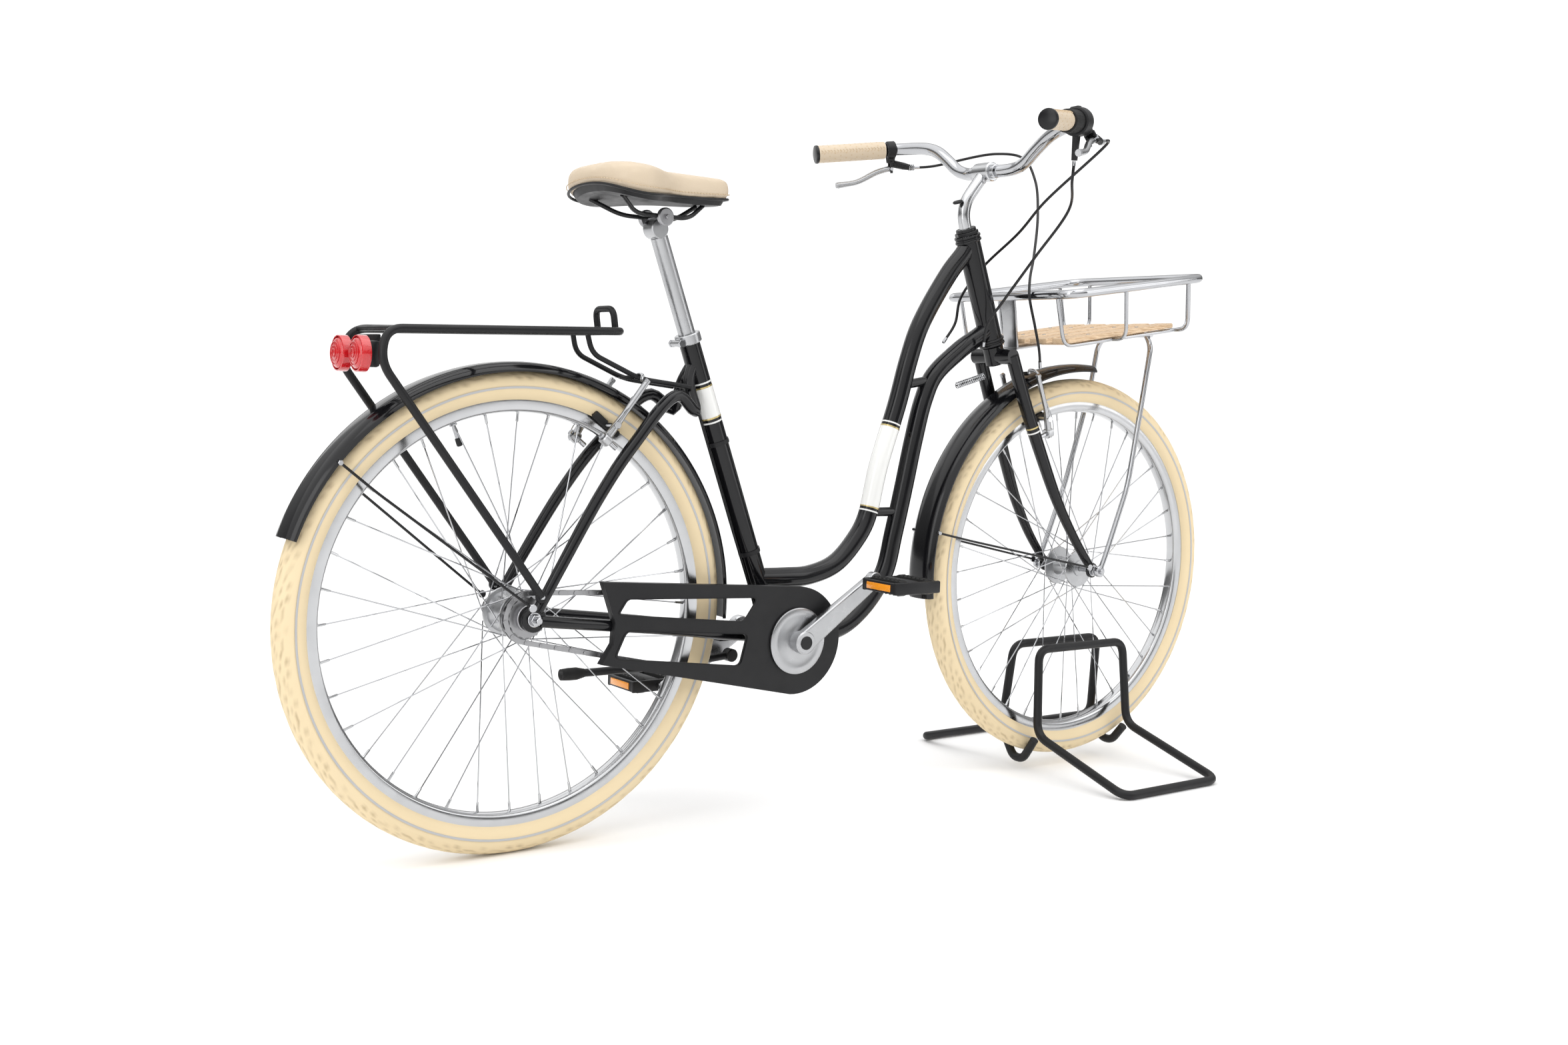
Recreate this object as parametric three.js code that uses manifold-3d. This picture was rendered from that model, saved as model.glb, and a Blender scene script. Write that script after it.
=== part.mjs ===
// A step-through city bicycle with a front basket and a rear rack, held up by a floor stand under its
// front wheel.
import * as THREE from 'three';
import { mergeVertices } from 'three/addons/utils/BufferGeometryUtils.js';
import Module from 'manifold-3d';

const wasm = await Module();
wasm.setup();

// Driving dimensions, in millimetres and degrees. The bicycle is laid out with its rear axle at x = 0,
// +X forward, +Y to the rider's left, +Z up and the floor at z = 0.
const tyreRadius = 358.5;
const tyreWidth = 48;
const beadRadius = 311;
const rimWidth = 27;
const rimDepth = 20.5;
const spokeCount = 36;
const spokeRadius = 1.2;
const wheelbase = 1175;
const frontLift = 22;
const headAngle = 68.9;
const seatAngle = 68.9;
const forkRake = 64.4;
const forkLength = 467.5;
const forkHalfWidth = 60;
const bladeRadius = 11;
const headLength = 203;
const headRadius = 20.5;
const steererRadius = 14;
const quillRadius = 11;
const frameTubeRadius = 17.2;
const seatTubeRadius = 16.5;
const seatTubeLength = 518;
const seatPostRadius = 13.5;
const seatPostTop = 688;
const bracketX = 472;
const bracketZ = 296.5;
const bracketShellRadius = 21;
const bracketShellHalf = 36;
const spindleRadius = 8;
const stayRadius = 9;
const dropoutHalf = 64;
const axleRadius = 5;
const crankLength = 170;
const crankAngle = 34;
const chainY = -45;
const chainringTeeth = 38;
const sprocketTeeth = 18;
const chainPitch = 12.7;
const barRadius = 11;
const barHalfWidth = 296;
const gripRadius = 16;
const basketLength = 352;
const basketHalfWidth = 162;
const basketDepth = 92;
const basketTilt = 8.5;
const railRadius = 8;
const wireRadius = 3.5;
const rackHalfWidth = 63;
const rackTubeRadius = 6;
const fenderHalfWidth = 30;
const rearFenderGap = 9;
const frontFenderGap = 27;
const fenderWall = 2;
const saddleLength = 252;
const saddleHalfWidth = 95;
const saddleDip = 6;
const saddleFlap = 13;
const standTubeRadius = 8;
const gap = 0.3;
const runningGap = 1;

// Colours and finishes.
const finish = (color, roughness, metalness) =>
  new THREE.MeshStandardMaterial({ color, roughness, metalness });
const blackPaint = finish(0x0c0c0e, 0.18, 0.0);
const blackPlastic = finish(0x1a1a1b, 0.5, 0.0);
const blackPowder = finish(0x151516, 0.45, 0.2);
const brightSteel = finish(0xc9c9cc, 0.2, 1.0);
const satinAlloy = finish(0xb4b5b8, 0.35, 1.0);
const creamTyre = finish(0xd9b57c, 0.8, 0.0);
const beigeLeather = finish(0xd8bd94, 0.55, 0.0);
const beechWood = finish(0xd6ab73, 0.5, 0.0);
const redLens = finish(0xb3121a, 0.15, 0.0);
const blackRubber = finish(0x161616, 0.85, 0.0);

// ---- geometry helpers
const vec = (x, y, z) => new THREE.Vector3(x, y, z);
const rad = THREE.MathUtils.degToRad;
const mix = THREE.MathUtils.lerp;
const UP_Y = vec(0, 1, 0);

// A closed three.js geometry as a solid; a mesh that faces inwards is turned round.
function solidOf(geometry) {
  const bare = geometry.clone();
  bare.deleteAttribute('normal');
  bare.deleteAttribute('uv');
  const merged = mergeVertices(bare, 1e-4);
  const corners = merged.index.array;
  const build = (flip) => {
    const triVerts = [];
    for (let i = 0; i < corners.length; i += 3) {
      const [a, b, c] = [corners[i], corners[i + 1], corners[i + 2]];
      if (a === b || b === c || c === a) continue;
      triVerts.push(a, flip ? c : b, flip ? b : c);
    }
    const vertProperties = merged.attributes.position.array;
    return new wasm.Manifold(new wasm.Mesh({
      numProp: 3, vertProperties, triVerts: new Uint32Array(triVerts),
    }));
  };
  const solid = build(false);
  return solid.volume() < 0 ? build(true) : solid;
}

function geometryOf(solid) {
  const { vertProperties, triVerts, numProp } = solid.getMesh();
  const geometry = new THREE.BufferGeometry();
  const positions = new Float32Array((vertProperties.length / numProp) * 3);
  for (let i = 0; i < positions.length / 3; i += 1) {
    positions.set(vertProperties.subarray(i * numProp, i * numProp + 3), i * 3);
  }
  geometry.setAttribute('position', new THREE.BufferAttribute(positions, 3));
  geometry.setIndex(new THREE.BufferAttribute(new Uint32Array(triVerts), 1));
  geometry.computeVertexNormals();
  return geometry;
}

function add(group, name, solid, material) {
  const mesh = new THREE.Mesh(geometryOf(solid), material);
  mesh.name = name;
  group.add(mesh);
  return mesh;
}

const join = (...solids) => solids.reduce((sum, each) => sum.add(each));
const cut = (body, ...tools) => tools.reduce((rest, tool) => rest.subtract(tool), body);

// A polygon section. Its first side is flat on, so that a straight tube can rest on it.
function section(radius, sides) {
  const shape = new THREE.Shape();
  for (let i = 0; i < sides; i += 1) {
    const turn = ((i + 0.5) / sides) * 2 * Math.PI;
    shape[i ? 'lineTo' : 'moveTo'](radius * Math.cos(turn), radius * Math.sin(turn));
  }
  shape.closePath();
  return shape;
}

// A path that is sampled at its own stations, so straight runs take one step and bends take several.
class StationPath extends THREE.Curve {
  constructor(stations) {
    super();
    this.stations = stations;
  }
  getPoint(t) {
    const place = t * (this.stations.length - 1);
    const first = Math.min(Math.floor(place), this.stations.length - 2);
    return this.stations[first].clone().lerp(this.stations[first + 1], place - first);
  }
  getPointAt(t) {
    return this.getPoint(t);
  }
  getSpacedPoints() {
    return this.stations.map((p) => p.clone());
  }
  getTangentAt(t) {
    const last = this.stations.length - 1;
    const i = Math.round(t * last);
    const before = i > 0 ? this.stations[i].clone().sub(this.stations[i - 1]).normalize() : vec(0, 0, 0);
    const after = i < last ? this.stations[i + 1].clone().sub(this.stations[i]).normalize() : vec(0, 0, 0);
    return before.add(after).normalize();
  }
}

// Stations along straight runs whose corners are rounded, each bend taking a share of its two runs.
function bentStations(points, bend, arcSteps = 2) {
  const stations = [points[0]];
  for (let i = 1; i < points.length - 1; i += 1) {
    const [before, corner, after] = [points[i - 1], points[i], points[i + 1]];
    const reach = Math.min(bend, corner.distanceTo(before) * 0.48, corner.distanceTo(after) * 0.48);
    const start = corner.clone().add(before.clone().sub(corner).setLength(reach));
    const end = corner.clone().add(after.clone().sub(corner).setLength(reach));
    stations.push(...new THREE.QuadraticBezierCurve3(start, corner, end).getPoints(arcSteps));
  }
  stations.push(points[points.length - 1]);
  return stations;
}

const smoothStations = (points, steps) =>
  new THREE.CatmullRomCurve3(points, false, 'centripetal').getSpacedPoints(steps);

function sweep(shape, stations) {
  const options = {
    steps: stations.length - 1, extrudePath: new StationPath(stations), bevelEnabled: false,
  };
  return solidOf(new THREE.ExtrudeGeometry(shape, options));
}

const rod = (from, to, radius, sides = 8) => sweep(section(radius, sides), [from, to]);
const bent = (points, radius, bend, sides = 8) => sweep(section(radius, sides), bentStations(points, bend));
const smooth = (points, radius, steps, sides = 8) => sweep(
  section(radius, sides), smoothStations(points, steps),
);

function block(width, depth, height, centre) {
  return solidOf(new THREE.BoxGeometry(width, depth, height).translate(centre.x, centre.y, centre.z));
}

// A turned solid from a profile of [radius, height] pairs, standing on `origin` along `direction`.
function turned(profile, segments, origin = vec(0, 0, 0), direction = UP_Y) {
  const points = profile.map(([radius, height]) => new THREE.Vector2(radius, height));
  const onAxis = profile[0][0] === 0 && profile[profile.length - 1][0] === 0;
  if (!onAxis) points.push(points[0].clone());
  const geometry = new THREE.LatheGeometry(points, segments, Math.PI / segments);
  geometry.applyQuaternion(new THREE.Quaternion().setFromUnitVectors(UP_Y, direction));
  return solidOf(geometry.translate(origin.x, origin.y, origin.z));
}

// A plate cut from a flat outline in the bicycle's side plane, from y = low to y = high.
function sidePlate(shape, low, high) {
  const geometry = new THREE.ExtrudeGeometry(
    shape, { depth: high - low, bevelEnabled: false, curveSegments: 10 },
  );
  return solidOf(geometry.rotateX(Math.PI / 2).translate(0, high, 0));
}

// A wedge about an axle, from one angle to another, to trim a ring into an arc.
function wedge(centre, radius, fromDeg, toDeg, halfWidth) {
  const shape = new THREE.Shape();
  shape.moveTo(centre.x, centre.z);
  const count = Math.max(3, Math.ceil((toDeg - fromDeg) / 15));
  for (let i = 0; i <= count; i += 1) {
    const turn = rad(mix(fromDeg, toDeg, i / count));
    shape.lineTo(centre.x + radius * Math.cos(turn), centre.z + radius * Math.sin(turn));
  }
  shape.closePath();
  return sidePlate(shape, -halfWidth, halfWidth);
}

// ---- places worked out from the driving dimensions
const rearAxle = vec(0, 0, tyreRadius);
const frontAxle = vec(wheelbase, 0, tyreRadius + frontLift);
const steerUp = vec(-Math.cos(rad(headAngle)), 0, Math.sin(rad(headAngle)));
const steerForward = vec(Math.sin(rad(headAngle)), 0, Math.cos(rad(headAngle)));
const lowerHead = frontAxle.clone().addScaledVector(steerForward, -forkRake)
  .addScaledVector(steerUp, forkLength);
const onSteering = (forward, y, up) =>
  lowerHead.clone().addScaledVector(steerForward, forward).addScaledVector(steerUp, up).add(vec(0, y, 0));
const bracket = vec(bracketX, 0, bracketZ);
const seatUp = vec(-Math.cos(rad(seatAngle)), 0, Math.sin(rad(seatAngle)));
const seatForward = vec(Math.sin(rad(seatAngle)), 0, Math.cos(rad(seatAngle)));
const seatFoot = vec(bracketX + 5, 0, bracketZ);
const onSeatTube = (forward, y, up) =>
  seatFoot.clone().addScaledVector(seatForward, forward).addScaledVector(seatUp, up).add(vec(0, y, 0));
// A point of the main frame: shares of the way from the bottom bracket to the lower head bearing.
const onFrame = (along, height) => vec(
  mix(bracket.x, lowerHead.x, along), 0, mix(bracket.z, lowerHead.z, height),
);
const around = (centre, radius, degrees, y = 0) =>
  vec(centre.x + radius * Math.cos(rad(degrees)), y, centre.z + radius * Math.sin(rad(degrees)));
const rimInner = beadRadius + 6 - rimDepth;

const bicycle = new THREE.Group();
bicycle.name = 'bicycle_on_stand';
const body = () => {
  const group = new THREE.Group();
  bicycle.add(group);
  return group;
};

// ---- floor stand: two bent tube loops and two cradles that the front tyre sits in
const stand = body();
const standRearX = wheelbase - 110;
const standFrontX = wheelbase + 136;
const standTopZ = 232;
const standTopY = 33;
const standBendZ = 73;
const standBendY = 47;
const standFootY = 267;
const standFootRise = standTubeRadius * 0.92 - 0.3;
function standLoop(side, radius) {
  const half = (from, to) => {
    const overlap = Math.sign(to - from);
    const middle = (from + to) / 2 - overlap;
    return bent(
      [
        vec(middle, side * standFootY, standFootRise),
        vec(to - overlap * 4, side * standFootY, standFootRise),
        vec(to, side * standBendY, standBendZ),
        vec(to - overlap * 8, side * standTopY, standTopZ),
        vec(middle, side * standTopY, standTopZ),
      ],
      radius, 24, 8,
    );
  };
  const loop = join(half(standRearX, standFrontX), half(standFrontX, standRearX));
  return cut(loop, block(600, 700, 20, vec(wheelbase, 0, -10)));
}
const loopGuards = [standLoop(1, standTubeRadius + gap), standLoop(-1, standTubeRadius + gap)];
add(stand, 'stand_loop_left', standLoop(1, standTubeRadius), blackPowder);
add(stand, 'stand_loop_right', standLoop(-1, standTubeRadius), blackPowder);
function cradle(x) {
  const tyreCentre = tyreRadius - tyreWidth / 2;
  const centreZ = frontAxle.z - Math.sqrt(tyreCentre ** 2 - (x - frontAxle.x) ** 2);
  const bottomZ = centreZ - tyreWidth / 2 - standTubeRadius - 11.5;
  const bottomY = 13;
  const points = [
    vec(x, -standBendY, standBendZ), vec(x, -bottomY, bottomZ), vec(x, bottomY, bottomZ),
    vec(x, standBendY, standBendZ),
  ];
  return cut(bent(points, standTubeRadius, 10, 8), ...loopGuards);
}
add(stand, 'stand_cradle_rear', cradle(standRearX), blackPowder);
add(stand, 'stand_cradle_front', cradle(standFrontX), blackPowder);

// ---- wheels
const WHEEL_SEGMENTS = 36;
const flatOut = 1 / Math.cos(Math.PI / WHEEL_SEGMENTS);
const flip = (profile) => profile.map(([r, y]) => [r, -y]);
// A wall that runs up one side, across and down the other, then back along its inner face.
const wallRing = (outer, inner) => [...outer, ...flip(outer).reverse(), ...flip(inner).reverse(), ...inner];

function tyreSolid() {
  const half = tyreWidth / 2;
  const height = tyreRadius - beadRadius;
  const bead = rimWidth / 2 - 3.8;
  const outer = [
    [beadRadius - 1.5, bead], [beadRadius + 0.18 * height, bead + 0.4], [beadRadius + 0.52 * height, half],
    [beadRadius + 0.86 * height, half * 0.72], [tyreRadius * flatOut, half * 0.26],
  ];
  const inner = [
    [tyreRadius - 5, half * 0.3], [beadRadius + 0.55 * height, half - 4],
    [beadRadius + 0.2 * height, bead - 2.6], [beadRadius - 1.5, bead - 3],
  ];
  return turned(wallRing(outer, inner), WHEEL_SEGMENTS);
}

function rimSolid() {
  const half = rimWidth / 2;
  const flange = beadRadius + 6;
  const outer = [[flange, half], [rimInner + 8, half - 0.8], [rimInner, 7]];
  const inner = [[rimInner + 4, half - 4.6], [flange, half - 2]];
  return turned(wallRing(outer, inner), WHEEL_SEGMENTS);
}

// The spokes of one wheel, crossed three times on each side, held together at the rim by the band of
// nipples.
function spokesSolid(hub) {
  const outer = rimInner - gap;
  const bandInner = outer / flatOut - 0.8;
  const band = turned([[outer, 3], [outer, -3], [outer - 2.6, 0]], WHEEL_SEGMENTS);
  const perSide = spokeCount / 2;
  const lean = (3 * 360) / perSide;
  const spokes = [];
  for (let i = 0; i < spokeCount; i += 1) {
    const side = i % 2 ? 1 : -1;
    const place = Math.floor(i / 2);
    const leading = place % 2 ? 1 : -1;
    const hubAngle = (place * 360) / perSide + (side > 0 ? 0 : 180 / perSide);
    const start = around(
      vec(0, 0, 0), hub.flangeRadius + spokeRadius + 0.6, hubAngle, side * hub.flangeHalf + leading * 2.4,
    );
    const end = around(vec(0, 0, 0), bandInner, hubAngle + leading * lean, side * 0.9);
    spokes.push(rod(start, end, spokeRadius, 3));
  }
  return join(band, ...spokes);
}

function hubSolid(hub) {
  const bore = axleRadius + 0.5;
  const half = [
    [bore, hub.half], [hub.endRadius, hub.half], [hub.endRadius, hub.flangeHalf + 2],
    [hub.flangeRadius, hub.flangeHalf + 1.5], [hub.flangeRadius, hub.flangeHalf - 1.5],
    [hub.bodyRadius, hub.flangeHalf - 3],
  ];
  return turned([...half, ...flip(half).reverse()], 14);
}

function addWheel(prefix, axle, hub) {
  const group = body();
  group.position.copy(axle);
  add(group, `${prefix}_hub`, hubSolid(hub), satinAlloy);
  add(group, `${prefix}_spokes`, spokesSolid(hub), brightSteel);
  add(group, `${prefix}_rim`, rimSolid(), satinAlloy);
  add(group, `${prefix}_tyre`, tyreSolid(), creamTyre);
}
const frontHub = { half: 31, flangeHalf: 26, flangeRadius: 36, bodyRadius: 31, endRadius: 15 };
const rearHub = { half: 33, flangeHalf: 27, flangeRadius: 37, bodyRadius: 30, endRadius: 20 };
addWheel('front', frontAxle, frontHub);
addWheel('rear', rearAxle, rearHub);

// A through axle with its locknuts inside the dropouts and its wheel nuts outside them.
const dropoutWall = 5;
function axleSolid(centre, hub, plateY, reach) {
  const inner = plateY - dropoutWall / 2 - gap;
  const outer = plateY + dropoutWall / 2 + gap;
  const half = [
    [0, reach], [axleRadius, reach], [axleRadius, outer + 8], [9, outer + 8], [9, outer],
    [axleRadius, outer],
    [axleRadius, inner], [8.5, inner], [8.5, Math.max(hub, inner - 5)],
    [axleRadius, Math.max(hub, inner - 5)],
  ];
  return turned([...half, ...flip(half).reverse()], 8, centre);
}

// ---- fork, with its steerer tube, crown, blades and brake studs
const fork = body();
const crownUp = -22;
const bladeTopHalf = 42;
const brakeForward = 48.7;
const brakeUp = -186;
const studRadius = 4;
const brakePivotY = 42;
const lockNutUp = headLength + 1;
const bladePoints = (side) => [
  onSteering(3, side * bladeTopHalf, crownUp), onSteering(6, side * (bladeTopHalf + 2), -110),
  onSteering(12, side * (bladeTopHalf + 7), -210), onSteering(21, side * (forkHalfWidth - 5), -310),
  onSteering(37, side * (forkHalfWidth - 1), -385), onSteering(54, side * forkHalfWidth, -438),
  onSteering(forkRake - 3, side * forkHalfWidth, -forkLength + 10),
];
const forkEnd = (side) => join(
  rod(onSteering(forkRake, side * (forkHalfWidth - dropoutWall / 2), -forkLength),
    onSteering(forkRake, side * (forkHalfWidth + dropoutWall / 2), -forkLength), 14, 12),
);
const axleBore = (centre) => rod(
  vec(centre.x, -90, centre.z), vec(centre.x, 90, centre.z), axleRadius + 0.6, 8,
);
const bladeSolid = (side) => smooth(bladePoints(side), bladeRadius, 10, 8);
const forkStud = (side, extra = 0) => rod(
  onSteering(12, side * brakePivotY, brakeUp), onSteering(
    brakeForward + 9 + extra, side * brakePivotY, brakeUp,
  ), studRadius + extra, 8,
);
const steererTop = lockNutUp + 12;
const forkSolid = cut(
  join(
    rod(onSteering(0, 0, crownUp - 6), onSteering(0, 0, steererTop), steererRadius, 12),
    rod(onSteering(0, 0, crownUp - 14), onSteering(0, 0, -1), 19, 12),
    rod(onSteering(0, -bladeTopHalf - 6, crownUp), onSteering(0, bladeTopHalf + 6, crownUp), 14, 8),
    turned([
      [0, lockNutUp], [21, lockNutUp], [21, lockNutUp + 4], [17, lockNutUp + 5], [17, steererTop],
      [0, steererTop],
    ],
      12, lowerHead, steerUp),
    bladeSolid(1), bladeSolid(-1), forkEnd(1), forkEnd(-1), forkStud(1), forkStud(-1),
  ),
  rod(onSteering(0, 0, 60), onSteering(0, 0, steererTop + 10), quillRadius + gap * 3, 12),
  axleBore(frontAxle),
);
add(fork, 'fork', forkSolid, blackPaint);
add(
  fork, 'front_axle', axleSolid(frontAxle, frontHub.half + gap, forkHalfWidth, forkHalfWidth + 28),
  brightSteel,
);

// ---- stem, handlebar and what is clamped to the bar
const clampPoint = onSteering(75, 0, 296);
const kink = onSteering(0, 0, headLength + 50);
const grips = {};
const barRoute = (side) => [
  clampPoint.clone(), clampPoint.clone().add(vec(14, side * 58, 3)),
  clampPoint.clone().add(vec(13, side * 84, 11)),
  clampPoint.clone().add(vec(12, side * 112, 31)), clampPoint.clone().add(vec(12, side * 140, 49)),
  clampPoint.clone().add(vec(9, side * 168, 58)),
];
for (const side of [1, -1]) {
  const end = clampPoint.clone().add(vec(-149, side * barHalfWidth, 42));
  const start = clampPoint.clone().add(vec(-12, side * (barHalfWidth - 60), 61));
  grips[side] = { end, inward: start.clone().sub(end).normalize() };
}
const onGrip = (side, distance) => grips[side].end.clone().addScaledVector(grips[side].inward, distance);
const barStations = (side) => [
  ...smoothStations([...barRoute(side), onGrip(side, 150), onGrip(side, 110)], 11),
  onGrip(side, 0),
];
const halfBar = (side, radius) => sweep(section(radius, 10), barStations(side));
const barSolid = (radius) => {
  const bridge = rod(
    clampPoint.clone().add(vec(0, -6, 0)), clampPoint.clone().add(vec(0, 6, 0)), radius, 10,
  );
  return join(halfBar(1, radius), halfBar(-1, radius), bridge);
};
add(fork, 'handlebar', barSolid(barRadius), brightSteel);
const barGuard = barSolid(barRadius + gap);
const stemSolid = cut(
  join(
    bent([onSteering(0, 0, 110), kink, clampPoint], quillRadius, 18, 12),
    rod(clampPoint.clone().add(vec(0, -20, 0)), clampPoint.clone().add(vec(0, 20, 0)), barRadius + 6, 16),
    rod(clampPoint.clone().add(vec(14, 0, -16)), clampPoint.clone().add(vec(24, 0, -6)), 7, 8),
  ),
  barGuard,
);
add(fork, 'stem', stemSolid, satinAlloy);

// A ring on the straight end of the bar, from one distance to another, measured from the bar's end.
const barRing = (side, from, to, radius) => cut(
  rod(onGrip(side, from), onGrip(side, to), radius, 16), barGuard,
);
const leftGripLength = 130;
const rightGripLength = 78;
function gripSolid(side, length) {
  const profile = [
    [0, -6], [gripRadius + 1, -6], [gripRadius + 1, 0], [gripRadius, 6], [gripRadius, length],
    [0, length],
  ];
  return cut(turned(profile, 16, onGrip(side, 0), grips[side].inward), barGuard);
}
add(fork, 'grip_left', gripSolid(1, leftGripLength), beigeLeather);
add(fork, 'grip_right', gripSolid(-1, rightGripLength), beigeLeather);
const twistEnd = 118;
const housingEnd = 148;
const shifter = body();
add(shifter, 'twist_shifter', cut(
  rod(onGrip(-1, rightGripLength + gap), onGrip(-1, twistEnd), gripRadius + 3, 16),
  rod(onGrip(-1, rightGripLength - 5), onGrip(-1, twistEnd + 5), barRadius + 2, 16),
), blackRubber);
// Directions at one grip: inward along the bar, `down` square to it towards the lever, and the lever's
// pivot axis.
const squareTo = (direction, inward) =>
  direction.clone().addScaledVector(inward, -direction.dot(inward)).normalize();
const leverAim = { 1: vec(0.62, 0, -0.78), '-1': vec(0.86, 0, -0.51) };
function hand(side) {
  const { inward } = grips[side];
  const down = squareTo(leverAim[side], inward);
  return { inward, down, pivotAxis: inward.clone().cross(down).normalize() };
}
const outletAim = squareTo(vec(-0.25, 0, -0.97), grips[-1].inward);
add(fork, 'shifter_housing', join(
  barRing(-1, twistEnd + gap, housingEnd, 24),
  cut(
    rod(
      onGrip(-1, 133).addScaledVector(outletAim, 14), onGrip(-1, 137).addScaledVector(outletAim, 62), 6,
      8,
    ),
    rod(onGrip(-1, 60), onGrip(-1, 200), 20, 8),
  ),
), blackPlastic);

// Brake lever brackets: a clamp ring with an arm that holds the lever's pivot, and levers that lie along
// the grips.
const leverSide = {
  1: { from: leftGripLength + 4, to: leftGripLength + 20 },
  '-1': { from: housingEnd + 3, to: housingEnd + 19 },
};
const leverReach = 34;
function leverParts(side) {
  const { from, to } = leverSide[side];
  const { inward, down, pivotAxis } = hand(side);
  const middle = onGrip(side, (from + to) / 2);
  const pivot = middle.clone().addScaledVector(down, leverReach);
  const pivotRod = (radius, half) => rod(
    pivot.clone().addScaledVector(pivotAxis, -half), pivot.clone().addScaledVector(pivotAxis, half),
    radius, 8,
  );
  const outward = inward.clone().negate();
  const leverStart = pivot.clone().addScaledVector(inward, 3);
  const leverPoints = [
    leverStart, pivot.clone().addScaledVector(outward, 26).addScaledVector(down, 6),
    pivot.clone().addScaledVector(outward, 66).addScaledVector(down, 22),
    pivot.clone().addScaledVector(outward, 104).addScaledVector(down, 26),
  ];
  const slotStart = leverStart.clone().addScaledVector(inward, 5);
  const slotEnd = pivot.clone().addScaledVector(outward, 40);
  const bladeSlot = join(
    rod(slotStart, slotEnd.clone().addScaledVector(down, 8), 7, 6),
    rod(slotStart, slotEnd.clone().addScaledVector(down, -12), 7, 6),
  );
  const bracketSolid = join(
    cut(
      join(
        barRing(side, from, to, 16),
        rod(middle.clone().addScaledVector(down, 14), pivot.clone().addScaledVector(down, 11), 9.5, 8),
        rod(
          pivot.clone().addScaledVector(down, -8),
          pivot.clone().addScaledVector(inward, 42).addScaledVector(down, 2), 7, 8,
        ),
      ),
      bladeSlot, barGuard,
    ),
  );
  const lever = cut(smooth(leverPoints, 5.5, 6, 6), pivotRod(3, 12));
  return {
    bracketSolid, lever, pivot, pivotAxis,
    cableExit: pivot.clone().addScaledVector(inward, 42).addScaledVector(down, 2),
  };
}
const levers = { 1: leverParts(1), '-1': leverParts(-1) };
add(fork, 'lever_bracket_left', levers[1].bracketSolid, blackPlastic);
add(fork, 'lever_bracket_right', levers[-1].bracketSolid, blackPlastic);
add(body(), 'brake_lever_left', levers[1].lever, satinAlloy);
add(body(), 'brake_lever_right', levers[-1].lever, satinAlloy);

// ---- brakes: two arms on each wheel, each turning on its stud
const padReach = 26;
const armLength = 112;
function brakeArm(pivot, up, axis, side) {
  const at = (along, out, above) =>
    pivot.clone().addScaledVector(axis, along).add(vec(0, side * out, 0)).addScaledVector(up, above);
  const padY = rimWidth / 2 + runningGap + 6 - Math.abs(pivot.y);
  return cut(
    join(
      rod(at(-7, 0, 0), at(7, 0, 0), 9.5, 8),
      bent([at(0, 0, 0), at(2, 5, 40), at(2, 4, armLength)], 5.5, 14, 6),
      rod(at(2, 6, padReach), at(2, padY, padReach), 4, 6),
      rod(at(-24, padY, padReach), at(28, padY, padReach), 6, 6),
    ),
    rod(at(-20, 0, 0), at(20, 0, 0), studRadius + 0.5, 8),
  );
}
const forkPivot = (side) => onSteering(brakeForward, side * brakePivotY, brakeUp);
for (const [side, word] of [[1, 'left'], [-1, 'right']]) {
  add(body(), `front_brake_arm_${word}`, brakeArm(forkPivot(side), steerUp, steerForward, side), satinAlloy);
}

// ---- fenders and their wire stays
function fenderSolid(axle, crown, fromDeg, toDeg) {
  const half = fenderHalfWidth;
  const outer = [[crown - 12, half], [crown, half * 0.6]];
  const inner = [[crown - fenderWall, half * 0.56], [crown - 12, half - fenderWall]];
  const ring = turned(wallRing(outer, inner), 40, axle);
  return ring.intersect(wedge(axle, crown * 1.5, fromDeg, toDeg, half + 5));
}
const frontCrown = tyreRadius + frontFenderGap;
const rearCrown = tyreRadius + rearFenderGap + fenderWall;
function stayWire(axle, crown, degrees, plateY, footDeg) {
  const foot = (side) => around(axle, 22, footDeg, side * (plateY + 14));
  const edge = (side, radius, y) => around(axle, radius, degrees, side * y);
  const reach = crown + 1;
  const points = [
    foot(1), edge(
      1, tyreRadius * 0.82, fenderHalfWidth + 6,
    ), edge(1, reach, fenderHalfWidth + 3), edge(1, reach, 10),
    edge(-1, reach, 10), edge(-1, reach, fenderHalfWidth + 3), edge(
      -1, tyreRadius * 0.82, fenderHalfWidth + 6,
    ), foot(-1),
  ];
  return bent(points, 2, 10, 6);
}
add(fork, 'front_fender', join(
  fenderSolid(frontAxle, frontCrown, 87, 186), stayWire(frontAxle, frontCrown, 168, forkHalfWidth, 160),
), blackPaint);

// ---- front basket, in its own tilted frame: x forward from the rear rail, y across, z up from the rails
const basket = new THREE.Group();
basket.position.set(lowerHead.x + 33, 0, lowerHead.z + 89);
basket.rotation.y = -rad(basketTilt);
fork.add(basket);
const halfRails = (side, radius) => bent(
  [
    vec(0, -side * 1, 0), vec(0, side * basketHalfWidth, 0),
    vec(basketLength, side * basketHalfWidth, 0), vec(basketLength, -side * 1, 0),
  ],
  radius, 34, 8,
);
const floorZ = -basketDepth;
const crossWire = (x) => bent(
  [
    vec(x, -basketHalfWidth, 0), vec(x, -basketHalfWidth + 6, floorZ), vec(x, basketHalfWidth - 6, floorZ),
    vec(x, basketHalfWidth, 0),
  ],
  wireRadius, 22, 5,
);
const longWire = (y) => bent(
  [
    vec(0, y, 0), vec(10, y, floorZ), vec(basketLength - 8, y, floorZ), vec(basketLength, y, 0),
  ], wireRadius, 22, 5,
);
const crossWires = [basketLength * 0.385, basketLength * 0.87];
const longWires = [-basketHalfWidth * 0.76, basketHalfWidth * 0.76];
const hangerPlate = block(5, 34, basketDepth + 4, vec(2, 0, floorZ / 2));
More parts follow.
